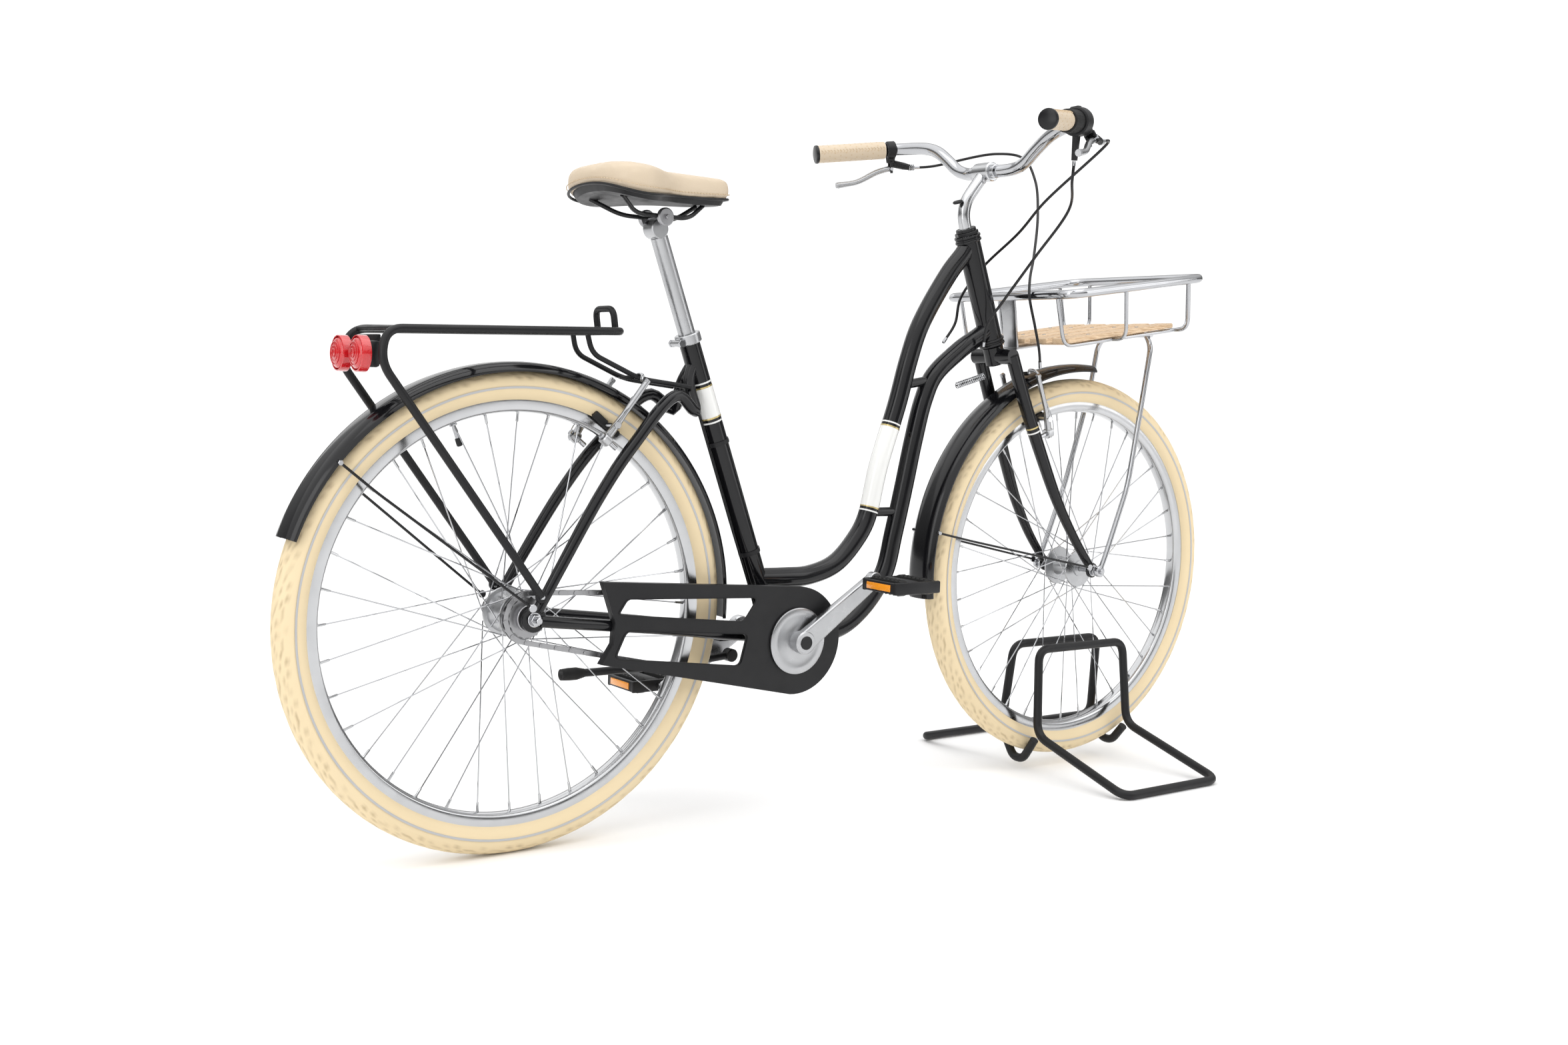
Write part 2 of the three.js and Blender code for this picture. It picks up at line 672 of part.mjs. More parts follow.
const hangerFoot = block(60, 34, 5, vec(29, 0, floorZ - 2.5));
const hangerTie = block(basketLength - 20, 10, 3, vec(basketLength / 2, 0, floorZ - 2));
add(basket, 'basket_frame', join(
  halfRails(1, railRadius), halfRails(-1, railRadius), ...crossWires.map(crossWire),
  ...longWires.map(longWire),
  hangerPlate, hangerFoot, hangerTie,
), brightSteel);
const slatCount = 5;
const slatWidth = 42;
const slatThickness = 9;
const slatPitch = (2 * (basketHalfWidth - 32) - slatWidth) / (slatCount - 1);
const slatBottom = floorZ + wireRadius + 1.2;
const slats = [];
for (let i = 0; i < slatCount; i += 1) {
  const y = (i - (slatCount - 1) / 2) * slatPitch;
  slats.push(block(
    basketLength - 72, slatWidth, slatThickness, vec(basketLength / 2, y, slatBottom + slatThickness / 2),
  ));
}
for (const x of [basketLength * 0.25, basketLength * 0.62]) {
  const length = 2 * basketHalfWidth * 0.72;
  slats.push(block(26, length, slatThickness, vec(x, 0, slatBottom + slatThickness / 2 + 0.5)));
}
add(basket, 'basket_floor', join(...slats), beechWood);
const onBasket = (x, y, z) => vec(x, y, z).applyAxisAngle(UP_Y, basket.rotation.y).add(basket.position);
const stayBarX = basketLength * 0.885;
function basketStay(side) {
  const top = onBasket(stayBarX, side * 64, floorZ - wireRadius - 6 - gap);
  return [
    top, top.clone().add(vec(-18, side * 4, -106)),
    frontAxle.clone().add(vec(66, side * (forkHalfWidth + 19), 160)),
    frontAxle.clone().add(vec(14, side * (forkHalfWidth + 20), 30)),
    frontAxle.clone().add(vec(2, side * (forkHalfWidth + 20), 4)),
  ];
}
const stayCross = onBasket(stayBarX, 0, floorZ - wireRadius - 6 - gap);
const stayEyelet = (side, out) => frontAxle.clone().add(vec(0, side * (forkHalfWidth + out), 0));
add(fork, 'basket_stay', cut(join(
  ...[1, -1].map((side) => bent([stayCross.clone().add(vec(0, -side, 0)), ...basketStay(side)], 5, 16, 6)),
  ...[1, -1].map((side) => rod(stayEyelet(side, 16), stayEyelet(side, 24), 11, 12)),
), axleBore(frontAxle)), brightSteel);

// ---- main frame: welded tubes, each cut to its neighbours' walls
const frame = body();
const headWall = 3.5;
const headBore = headRadius - headWall;
const cup = 3;
const headSolid = turned(
  [
    [headBore, 0], [headRadius + cup, 0], [headRadius + cup, 12], [headRadius, 16],
    [headRadius, headLength - 16],
    [headRadius + cup, headLength - 12], [headRadius + cup, headLength], [headBore, headLength],
  ],
  16, lowerHead, steerUp,
);
add(frame, 'head_tube', headSolid, blackPaint);
const headGuard = join(
  rod(onSteering(0, 0, -4), onSteering(0, 0, headLength + 4), headRadius + gap * 2, 16),
  rod(onSteering(0, 0, -4), onSteering(0, 0, 18), headRadius + cup + gap * 2, 16),
  rod(onSteering(0, 0, headLength - 18), onSteering(0, 0, headLength + 4), headRadius + cup + gap * 2, 16),
);
const seatTubeRod = (radius, sides = 16) => rod(
  onSeatTube(0, 0, 0), onSeatTube(0, 0, seatTubeLength), radius, sides,
);
const shellRod = (radius, half) => rod(
  vec(bracket.x, -half, bracket.z), vec(bracket.x, half, bracket.z), radius, 16,
);
const spindleBore = shellRod(spindleRadius + 1, 100);
const seatPostDepth = 230;
add(frame, 'seat_tube', cut(
  join(seatTubeRod(seatTubeRadius), shellRod(bracketShellRadius, bracketShellHalf)),
  rod(
    onSeatTube(0, 0, seatTubeLength - seatPostDepth), onSeatTube(0, 0, seatTubeLength + 20),
    seatPostRadius + 0.6, 16,
  ),
  spindleBore,
), blackPaint);
const lowerGuard = join(
  seatTubeRod(seatTubeRadius + gap * 2), shellRod(bracketShellRadius + gap * 2, bracketShellHalf + gap),
);
const topTubePoints = [
  onSteering(0, 0, 188), onFrame(0.832, 1.316), onFrame(0.767, 1.247), onFrame(0.632, 1.052),
  onFrame(0.584, 0.932),
  onFrame(0.539, 0.781), onFrame(0.459, 0.555), onFrame(0.413, 0.378), onFrame(0.369, 0.31),
  onFrame(0.276, 0.227),
  onFrame(0.152, 0.191), onFrame(0.063, 0.189), onFrame(-0.06, 0.191),
];
const downTubePoints = [
  onSteering(0, 0, 52), onFrame(0.969, 1.06), onFrame(0.836, 0.976), onFrame(0.708, 0.877),
  onFrame(0.664, 0.793),
  onFrame(0.624, 0.652), onFrame(0.586, 0.487), onFrame(0.546, 0.324), onFrame(0.506, 0.183),
  onFrame(0.402, 0.06),
  onFrame(0.282, -0.002), onFrame(0, 0),
];
const topTube = smooth(topTubePoints, frameTubeRadius, 18, 8);
const downTube = (radius) => smooth(downTubePoints, radius, 18, 8);
const upperBridge = rod(onFrame(0.55, 0.84), onFrame(0.67, 0.86), 8, 8);
const lowerBridge = rod(onFrame(0.4, 0.4), onFrame(0.56, 0.4), 8, 8);
add(
  frame, 'top_tube',
  cut(join(topTube, upperBridge, lowerBridge), headGuard, lowerGuard, downTube(frameTubeRadius + gap)),
  blackPaint,
);
add(frame, 'down_tube', cut(downTube(frameTubeRadius), headGuard, lowerGuard), blackPaint);

const dropoutPlate = (side, radius) => rod(
  vec(0, side * (dropoutHalf - dropoutWall / 2), rearAxle.z), vec(
    0, side * (dropoutHalf + dropoutWall / 2), rearAxle.z,
  ), radius, 12,
);
const chainstayPoints = (side) => [
  vec(bracket.x - 8, side * 25, bracket.z + 1), vec(bracket.x - 62, side * 30, bracket.z + 6),
  vec(bracket.x - 118, side * 37.5, bracket.z + 13), vec(
    bracket.x - 215, side * 48, bracket.z + 28,
  ), vec(120, side * 56, rearAxle.z - 17),
  vec(40, side * 63, rearAxle.z - 7), vec(10, side * dropoutHalf, rearAxle.z - 3),
];
const rearBore = axleBore(rearAxle);
const seatLug = 478;
const bladeOfStay = (side) => [
  onSeatTube(0, 0, seatLug), onSeatTube(-27, side * 10, seatLug - 28),
  onSeatTube(-44, side * 32, seatLug - 68),
  vec(250, side * 40, rearAxle.z + 328), vec(165, side * 52, rearAxle.z + 250),
  vec(110, side * 58, rearAxle.z + 180),
  vec(43, side * 63, rearAxle.z + 74),
  vec(6, side * dropoutHalf, rearAxle.z + 12),
];
const rearPivotX = 122;
const rearPivotZ = rearAxle.z + 260;
const rearPivotY = 47;
const rearBack = vec(-0.787, 0, 0.617).normalize();
const rearUpward = vec(0.617, 0, 0.787).normalize();
const rearPivot = (side) => vec(rearPivotX, side * rearPivotY, rearPivotZ);
const rearStud = (side, extra = 0) => rod(
  rearPivot(side).addScaledVector(rearBack, -42), rearPivot(side).addScaledVector(rearBack, 9 + extra),
  studRadius + extra, 8,
);
for (const [side, word] of [[1, 'left'], [-1, 'right']]) {
  add(body(), `rear_brake_arm_${word}`, brakeArm(rearPivot(side), rearUpward, rearBack, side), satinAlloy);
}
const seatstaysSolid = cut(
  join(...[1, -1].flatMap((side) => [
    smooth(bladeOfStay(side), stayRadius + 1, 11, 8), dropoutPlate(side, 19), rearStud(side),
    rod(
      rearPivot(side).addScaledVector(rearBack, -44), rearPivot(side).addScaledVector(rearBack, -12), 8,
      8,
    ),
  ])),
  rearBore, lowerGuard,
);
const seatstayGuard = join(...[1, -1].flatMap((side) => [
  smooth(bladeOfStay(side), stayRadius + 1 + gap, 11, 8), dropoutPlate(side, 19.6),
  rod(vec(0, side * (dropoutHalf - 4), rearAxle.z), vec(0, side * (dropoutHalf + 4), rearAxle.z), 19.6, 12),
]));
add(frame, 'seatstays', seatstaysSolid, blackPaint);
for (const [side, word] of [[1, 'left'], [-1, 'right']]) {
  const stay = smooth(chainstayPoints(side), stayRadius, 10, 8);
  const kickBracket = block(54, 34, 8, vec(bracket.x - 52, 48, bracket.z - 8));
  const whole = side > 0 ? join(
    stay, kickBracket,
    rod(vec(bracket.x - 37, 62, bracket.z - 8), vec(bracket.x - 37, 62, bracket.z - 34), 8, 8),
  ) : stay;
  add(frame, `chainstay_${word}`, cut(whole, lowerGuard, seatstayGuard), blackPaint);
}
add(frame, 'rear_axle', axleSolid(rearAxle, rearHub.half + gap, dropoutHalf, dropoutHalf + 20), brightSteel);

// ---- seat post, its clamp and the saddle
add(frame, 'seat_clamp', cut(
  join(
    rod(onSeatTube(0, 0, seatTubeLength - 14), onSeatTube(0, 0, seatTubeLength + 3), seatTubeRadius + 4, 16),
    rod(onSeatTube(-22, -14, seatTubeLength - 6), onSeatTube(-22, 14, seatTubeLength - 6), 5, 8),
  ),
  rod(
    onSeatTube(0, 0, seatTubeLength - 30), onSeatTube(0, 0, seatTubeLength + 0.5), seatTubeRadius + gap,
    16,
  ),
  rod(
    onSeatTube(0, 0, seatTubeLength - 30), onSeatTube(0, 0, seatTubeLength + 20), seatPostRadius + 0.6,
    16,
  ),
), satinAlloy);
const seat = body();
const seatBottom = seatTubeLength - seatPostDepth + 40;
const postHead = onSeatTube(0, 0, seatPostTop);
const railZ = postHead.z + 18;
add(seat, 'seat_post', join(
  rod(onSeatTube(0, 0, seatBottom), postHead, seatPostRadius, 16),
  rod(postHead.clone().add(vec(-2, -14, 0)), postHead.clone().add(vec(-2, 14, 0)), 15, 12),
), satinAlloy);
const saddleRear = postHead.x - 125;
function saddleOutline(shrink) {
  const shape = new THREE.Shape();
  const wide = saddleHalfWidth - shrink;
  const back = saddleRear + shrink;
  const nose = saddleRear + saddleLength - shrink;
  const waist = saddleRear + saddleLength * 0.5;
  const tip = 22 - shrink * 0.3;
  shape.moveTo(back, 0);
  shape.bezierCurveTo(back, wide * 0.5, back, wide, back + wide * 0.5, wide);
  shape.bezierCurveTo(waist - 40, wide, waist - 15, tip + 14, waist + 30, tip + 10);
  shape.bezierCurveTo(nose - 30, tip + 4, nose, tip, nose, 0);
  shape.bezierCurveTo(nose, -tip, nose - 30, -tip - 4, waist + 30, -tip - 10);
  shape.bezierCurveTo(waist - 15, -tip - 14, waist - 40, -wide, back + wide * 0.5, -wide);
  shape.bezierCurveTo(back, -wide, back, -wide * 0.5, back, 0);
  return shape;
}
const saddleTopZ = postHead.z + 89;
const coverHeight = 34;
const coverBottomZ = saddleTopZ - coverHeight;
// The saddle dips in the middle of its length, and its side flaps hang lower than its nose.
const saddleShape = (geometry) => {
  const position = geometry.getAttribute('position');
  for (let i = 0; i < position.count; i += 1) {
    const forward = (position.getX(i) - saddleRear) / saddleLength;
    const outward = Math.abs(position.getY(i)) / saddleHalfWidth;
    const below = (saddleTopZ - position.getZ(i)) / coverHeight;
    const dip = 4 * saddleDip * forward * (1 - forward);
    position.setZ(i, position.getZ(i) - dip - saddleFlap * outward ** 2 * Math.min(below, 1));
  }
  return geometry;
};
const puffed = { depth: 14, bevelThickness: 10, bevelSize: 12, bevelSegments: 3, curveSegments: 5 };
const coverAt = (drop) => solidOf(
  saddleShape(new THREE.ExtrudeGeometry(saddleOutline(12),
  puffed).translate(0, 0, coverBottomZ + 10)).translate(0, 0, -drop),
);
add(seat, 'saddle_cover', coverAt(0), beigeLeather);
const shellOptions = { depth: 8, bevelEnabled: false, curveSegments: 5 };
const saddleBase = cut(
  solidOf(saddleShape(new THREE.ExtrudeGeometry(saddleOutline(16),
  shellOptions).translate(0, 0, coverBottomZ - 8 - gap * 2))),
  coverAt(gap),
);
add(seat, 'saddle_base', saddleBase, blackPlastic);
const railPoints = (side) => [
  vec(saddleRear + 34, side * 48, coverBottomZ - 15), vec(saddleRear + 74, side * 22, railZ),
  vec(saddleRear + 168, side * 22, railZ),
  vec(saddleRear + saddleLength - 50, side * 9, coverBottomZ - 13),
];
const railCross = rod(
  vec(
    saddleRear + saddleLength - 50, -10, coverBottomZ - 13,
  ), vec(saddleRear + saddleLength - 50, 10, coverBottomZ - 13), 5, 8,
);
add(seat, 'saddle_rails', cut(
  join(
    ...[1, -1].map((side) => bent(railPoints(side), 3.5, 12, 6)), railCross,
    rod(vec(postHead.x - 2, -32, railZ), vec(postHead.x - 2, 32, railZ), 9, 10),
  ),
  rod(postHead.clone().add(vec(-2, -14.5, 0)), postHead.clone().add(vec(-2, 14.5, 0)), 15.4, 12), saddleBase,
), blackPlastic);

// ---- rear fender, rack and tail light
add(frame, 'rear_fender', join(
  fenderSolid(rearAxle, rearCrown, -4, 160.5), stayWire(rearAxle, rearCrown, 141, dropoutHalf + 4, 120),
), blackPaint);
const rackZ = rearAxle.z + 410;
const rackRear = -222;
const rackFront = 140;
const rackRun = (side) => [
  vec(6, side * (dropoutHalf + 11), rearAxle.z + 34), vec(-22, side * (dropoutHalf + 11), rearAxle.z + 72),
  vec(
    rackRear - 18, side * (rackHalfWidth + 10), rackZ - 48,
  ), vec(rackRear - 6, side * rackHalfWidth, rackZ - 3),
  vec(rackFront, side * rackHalfWidth, rackZ + 10), vec(rackFront + 8, side * 6, rackZ + 11),
  vec(rackFront + 8, -side, rackZ + 11),
];
const rackCross = (x, y = rackHalfWidth) => rod(
  vec(x, -y, rackZ + (x - rackRear) * 0.036), vec(x, y, rackZ + (x - rackRear) * 0.036),
  rackTubeRadius - 2, 6,
);
const hoopHalf = 26;
const hoop = bent([
  vec(rackFront + 6, -hoopHalf, rackZ + 11), vec(rackFront + 1, -hoopHalf, rackZ + 44),
  vec(rackFront + 1, hoopHalf, rackZ + 44), vec(rackFront + 6, hoopHalf, rackZ + 11),
], 5, 14, 6);
const deckRod = (y) => rod(vec(rackRear, y, rackZ), vec(rackFront + 6, y, rackZ + 11), 3.5, 6);
const rackArm = (side) => bent([
  vec(rackFront - 40, side * 22, rackZ + 8), vec(rackFront - 32, side * 24, rackZ - 24),
  vec(rackFront + 52, side * 25, rackZ - 59), onSeatTube(-36, side * 25, seatLug - 32),
], 4, 8, 6);
const rackSolid = cut(
  join(
    ...[1, -1].map((side) => bent(rackRun(side), rackTubeRadius, 30, 6)), rackCross(rackRear + 4),
    rackCross(rackRear + 150),
    rackCross(rackFront - 40, rackHalfWidth), hoop, deckRod(22), deckRod(-22), rackArm(1), rackArm(-1),
    block(8, 60, 26, vec(rackRear - 4, 0, rackZ - 24)),
    rod(vec(rackRear + 6, 0, rackZ), vec(rackRear + 1, 0, rackZ - 20), 6, 8),
  ),
  lowerGuard, seatstayGuard,
);
add(frame, 'rear_rack', rackSolid, blackPowder);
const lightX = rackRear - 8 - gap;
const lightZ = rackZ - 38;
add(frame, 'tail_light', join(
  block(18, 104, 36, vec(lightX - 9, 0, lightZ)),
  ...[1, -1].map((side) => rod(
    vec(lightX - 16, side * 34, lightZ), vec(lightX - 34, side * 34, lightZ), 25, 16,
  )),
), redLens);

// ---- chain drive
const chainringRadius = (chainringTeeth * chainPitch) / (2 * Math.PI);
const sprocketRadius = (sprocketTeeth * chainPitch) / (2 * Math.PI);
// The outline of a band stretched round two circles in the side plane.
function band(a, radiusA, b, radiusB, path = new THREE.Shape(), steps = 10) {
  const along = Math.atan2(b.z - a.z, b.x - a.x);
  const reach = Math.hypot(b.x - a.x, b.z - a.z);
  const lead = Math.acos((radiusA - radiusB) / reach);
  const points = [];
  for (let i = 0; i <= steps; i += 1) {
    const turn = along + mix(lead, 2 * Math.PI - lead, i / steps);
    points.push(new THREE.Vector2(a.x + radiusA * Math.cos(turn), a.z + radiusA * Math.sin(turn)));
  }
  for (let i = 0; i <= steps; i += 1) {
    const turn = along + mix(-lead, lead, i / steps);
    points.push(new THREE.Vector2(b.x + radiusB * Math.cos(turn), b.z + radiusB * Math.sin(turn)));
  }
  path.setFromPoints(points);
  return path;
}
const chainHalf = 4;
const chainRise = 4;
const toothGap = 1.5;
const chainLoop = band(rearAxle, sprocketRadius + chainRise, bracket, chainringRadius + chainRise);
chainLoop.holes.push(band(
  rearAxle, sprocketRadius - chainRise, bracket, chainringRadius - chainRise, new THREE.Path(),
));
add(frame, 'chain', sidePlate(chainLoop, chainY - chainHalf, chainY + chainHalf), satinAlloy);
const sprocket = body();
const toothed = (centre, radius, y) => rod(
  vec(centre.x, y - 1.5, centre.z), vec(centre.x, y + 1.5, centre.z), radius, 24,
);
add(sprocket, 'rear_sprocket', cut(
  join(
    toothed(rearAxle, sprocketRadius - chainRise - toothGap, chainY),
    rod(vec(0, chainY - 8, rearAxle.z), vec(0, -rearHub.half - gap, rearAxle.z), 19, 16),
  ),
  rod(vec(0, -dropoutHalf, rearAxle.z), vec(0, 0, rearAxle.z), 10, 16),
), satinAlloy);

const caseRadius = 88;
const caseRearX = bracket.x - 362;
const caseOuterY = -72;
const caseWall = 2.5;
function caseOutline(inset, rearX) {
  const shape = new THREE.Shape();
  const radius = caseRadius - inset;
  shape.moveTo(rearX, bracket.z + 112 - inset);
  for (let i = 0; i <= 12; i += 1) {
    const turn = rad(mix(84, -96, i / 12));
    shape.lineTo(bracket.x + radius * Math.cos(turn), bracket.z + radius * Math.sin(turn));
  }
  shape.lineTo(rearX, bracket.z - 12 + inset);
  shape.lineTo(rearX + 20, bracket.z + 18);
  shape.lineTo(rearX + 22, bracket.z + 50);
  shape.closePath();
  return shape;
}
const casePanel = (corners) => {
  const shape = new THREE.Shape(corners.map(([x, z]) => new THREE.Vector2(bracket.x + x, bracket.z + z)));
  return sidePlate(shape, caseOuterY - 5, -30);
};
const upperWindow = casePanel([[-319, 84], [-80, 74], [-106, 38], [-334, 62]]);
const lowerWindow = casePanel([[-319, 36], [-99, 17], [-112, -32], [-338, -4]]);
const lipDepth = 14;
add(frame, 'chain_case', cut(
  join(
    sidePlate(caseOutline(0, caseRearX), caseOuterY, caseOuterY + caseWall),
    cut(
      sidePlate(caseOutline(0, caseRearX), caseOuterY + caseWall - 0.5, caseOuterY + lipDepth),
      sidePlate(caseOutline(2.5, caseRearX - 20), caseOuterY + caseWall - 1, caseOuterY + lipDepth + 1),
    ),
  ),
  upperWindow, lowerWindow, shellRod(30, 100), seatstayGuard,
), blackPlastic);

// ---- cranks and pedals
const crankOuterY = 98;
const crankThickness = 14;
const crankPoint = (side) => around(bracket, crankLength, side < 0 ? crankAngle : crankAngle + 180);
const pedalSpindleRadius = 4.5;
const pedalInner = crankOuterY + 22;
const pedalWidth = 84;
function crankArm(side) {
  const low = Math.min(side * crankOuterY, side * (crankOuterY - crankThickness));
  const arm = sidePlate(
    band(bracket, 19, crankPoint(side), 12, new THREE.Shape(), 6), low, low + crankThickness,
  );
  const tip = crankPoint(side);
  const spindle = rod(
    vec(tip.x, side * (crankOuterY - 4), tip.z), vec(
      tip.x, side * (pedalInner + pedalWidth - 6), tip.z,
    ), pedalSpindleRadius, 8,
  );
  return join(arm, spindle);
}
const cranks = body();
const discRadius = 54;
add(cranks, 'crank_right', join(
  crankArm(-1), rod(
    vec(bracket.x, -crankOuterY + 2, bracket.z), vec(bracket.x, crankOuterY - 2, bracket.z),
    spindleRadius, 12,
  ),
  cut(toothed(bracket, chainringRadius - chainRise - toothGap, chainY), ...[0, 1, 2, 3].map((i) => {
    const hole = around(bracket, 45, 45 + i * 90);
    return rod(vec(hole.x, chainY - 5, hole.z), vec(hole.x, chainY + 5, hole.z), 13, 8);
  })),
  rod(vec(bracket.x, -crankOuterY + 4, bracket.z), vec(bracket.x, chainY + 1, bracket.z), 17, 14),
  rod(
    vec(bracket.x, caseOuterY - 5, bracket.z), vec(bracket.x, caseOuterY - 1.5, bracket.z), discRadius,
    24,
  ),
), satinAlloy);
add(cranks, 'crank_left', cut(
  crankArm(1), rod(
    vec(bracket.x, -crankOuterY, bracket.z), vec(bracket.x, crankOuterY, bracket.z), spindleRadius + gap,
    12,
  ),
), satinAlloy);
for (const [side, word] of [[-1, 'right'], [1, 'left']]) {
  const tip = crankPoint(side);
  const middleY = side * (pedalInner + pedalWidth / 2);
  const window = (x) => block(26, pedalWidth - 26, 60, vec(tip.x + x, middleY, tip.z));
  add(body(), `pedal_${word}`, cut(
    block(96, pedalWidth, 24, vec(tip.x, middleY, tip.z)), window(-25), window(25),
    rod(vec(tip.x, -220, tip.z), vec(tip.x, 220, tip.z), pedalSpindleRadius + 0.6, 8),
  ), blackPlastic);
}

// ---- kickstand, folded back along the left chainstay
const kickPivot = vec(bracket.x - 37, 62, bracket.z - 42);
const kickLength = 314;
const kickFoot = kickPivot.clone().add(vec(-kickLength, 10, -10));
const kickKnee = kickPivot.clone().add(vec(-110, 6, -10));
add(body(), 'kickstand_leg', join(
  rod(kickPivot.clone().add(vec(0, -8, 0)), kickPivot.clone().add(vec(0, 10, 0)), 8, 10),
  bent([kickPivot, kickKnee, kickFoot], 6.5, 20),
  rod(kickFoot.clone().lerp(kickKnee, 0.45), kickFoot, 10, 10),
), blackRubber);

// ---- cables and the steering spring
const cableRadius = 2.5;
const frontCable = [
  levers[1].cableExit.clone().addScaledVector(hand(1).inward, 1),
  levers[1].cableExit.clone().addScaledVector(hand(1).inward, 40),
  onSteering(240, 135, 299), onSteering(268, 95, 280), onSteering(252, 60, 240), onSteering(205, 24, 186),
  onSteering(128, -20, 124), onSteering(76, -52, 98), onSteering(48, -70, 72), onSteering(42, -74, 20),
  onSteering(49, -64, -28),
  onSteering(56, -50, -62),
];
add(fork, 'front_brake_cable', smooth(frontCable, cableRadius, 20, 6), blackRubber);
const housingExit = onGrip(-1, 137).addScaledVector(outletAim, 63);
const shiftCable = [
  housingExit, housingExit.clone().addScaledVector(outletAim, 30), onSteering(82, -172, 214),
  onSteering(40, -112, 146),
  onSteering(-4, -60, 84), onSteering(-34, -38, 50), onFrame(0.9, 0.99).add(vec(0, -27, 0)),
];
add(frame, 'shift_cable', smooth(shiftCable, cableRadius, 18, 6), blackRubber);
const rearCable = [
  levers[-1].cableExit.clone().addScaledVector(hand(-1).inward, 1),
  levers[-1].cableExit.clone().addScaledVector(hand(-1).inward, 36),
  onSteering(98, -104, 228), onSteering(82, -44, 182), onSteering(50, 34, 130),
  onSteering(-13, 40, 92), onSteering(-46, 32, 56),
  onFrame(0.8, 1.0).add(vec(0, 26, 0)),
];
add(frame, 'rear_brake_cable', smooth(rearCable, cableRadius, 18, 6), blackRubber);
const springTop = onSteering(-24, 0, -48);
const springFoot = onFrame(0.77, 0.832);
add(frame, 'steering_spring', rod(
  springTop.clone().lerp(springFoot, 0.1), springTop.clone().lerp(springFoot, 0.75), 6, 10,
), brightSteel);

// The part's origin is the middle of its footprint, on the floor.
const box = new THREE.Box3().setFromObject(bicycle);
const middle = box.getCenter(vec(0, 0, 0));
const part = new THREE.Group();
bicycle.position.set(-middle.x, -middle.y, -box.min.z);
part.add(bicycle);

export default part;
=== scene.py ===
# %% [markdown]
# # A step-through bicycle held up by a floor stand
# The real object is a city bicycle with a low, curved frame, cream tyres, a basket and a rack.
# The CAD model gives every place, size and moving body. This lesson builds the finished surfaces
# round it: round tubes, laced wheels, a stitched saddle, plated steel and enamel.

# %% Load the frame
import math

import bpy
from mathutils import Matrix, Vector


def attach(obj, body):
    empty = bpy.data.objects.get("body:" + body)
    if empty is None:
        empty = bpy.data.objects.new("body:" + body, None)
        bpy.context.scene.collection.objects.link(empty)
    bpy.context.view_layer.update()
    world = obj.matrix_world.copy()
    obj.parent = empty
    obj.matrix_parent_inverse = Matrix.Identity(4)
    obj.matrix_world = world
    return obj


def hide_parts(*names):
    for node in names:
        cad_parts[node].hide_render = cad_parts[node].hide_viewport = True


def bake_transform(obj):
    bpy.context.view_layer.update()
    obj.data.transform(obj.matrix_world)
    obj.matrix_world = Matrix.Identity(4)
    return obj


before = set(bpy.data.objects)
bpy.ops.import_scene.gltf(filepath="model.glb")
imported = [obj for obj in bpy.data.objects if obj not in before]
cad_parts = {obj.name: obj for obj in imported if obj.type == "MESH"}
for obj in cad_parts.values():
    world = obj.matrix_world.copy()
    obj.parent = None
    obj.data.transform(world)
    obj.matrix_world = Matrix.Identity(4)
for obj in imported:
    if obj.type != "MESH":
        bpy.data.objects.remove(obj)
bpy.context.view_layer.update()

# %% [markdown]
# The camera comes first. It stands behind and to the right of the bicycle, a little lower than the
# handlebar. Its place and turn are given as three directions, so nothing has to be aimed by eye.

# %% Camera
CAMERA_PLACE = (-1.6544, -2.0862, 0.7108)
CAMERA_RIGHT = (0.8024, -0.5957, 0.0358)
CAMERA_UP = (0.0236, 0.0917, 0.9955)
CAMERA_BACK = (-0.5963, -0.7979, 0.0876)
bpy.ops.object.camera_add()
camera = bpy.context.object
camera.name = "camera"
camera.data.sensor_width = 36
camera.data.lens = 36.307
camera.data.clip_end = 600
turn = Matrix((CAMERA_RIGHT, CAMERA_UP, CAMERA_BACK)).transposed().to_4x4()
camera.matrix_world = Matrix.Translation(CAMERA_PLACE) @ turn
bpy.context.scene.camera = camera
print("camera at", CAMERA_PLACE)

# %% [markdown]
# A studio for a glossy black object needs large soft lights, because gloss paint shows only what it
# reflects. A wide overhead glow keeps the floor evenly white as far as it can be seen, four soft panels
# draw the bright lines along the tubes, and darker sky near the horizon keeps plated parts from turning
# plain white.

# %% Floor and lights
bpy.ops.mesh.primitive_plane_add(size=400, location=(0, 0, -0.0005))
floor = bpy.context.object
floor.name = "floor"
floor_paint = bpy.data.materials.new("floor_white")
floor_paint.use_nodes = True
floor_shader = floor_paint.node_tree.nodes["Principled BSDF"]
floor_shader.inputs["Base Color"].default_value = (0.93, 0.93, 0.93, 1)
floor_shader.inputs["Roughness"].default_value = 0.85
floor_shader.inputs["Specular IOR Level"].default_value = 0.1
floor.data.materials.append(floor_paint)


def soft_light(name, place, target, size, watts):
    """A square or long soft panel that faces a point."""
    bpy.ops.object.light_add(type="AREA", location=place)
    lamp = bpy.context.object
    lamp.name = name
    lamp.data.shape = "RECTANGLE"
    lamp.data.size, lamp.data.size_y = size
    lamp.data.energy = watts
    lamp.rotation_euler = (Vector(target) - Vector(place)).to_track_quat("-Z", "Y").to_euler()
    return lamp


soft_light("top_panel", (-0.3, -0.6, 3.4), (0, 0, 0.4), (3.6, 2.4), 26)
soft_light("left_panel", (-3.4, -1.2, 1.6), (0, 0, 0.6), (1.2, 2.6), 16)
soft_light("right_panel", (2.8, -2.6, 1.7), (0.1, 0, 0.6), (1.4, 2.6), 18)
soft_light("back_panel", (0.6, 3.2, 1.9), (0, 0, 0.6), (3.2, 1.8), 14)

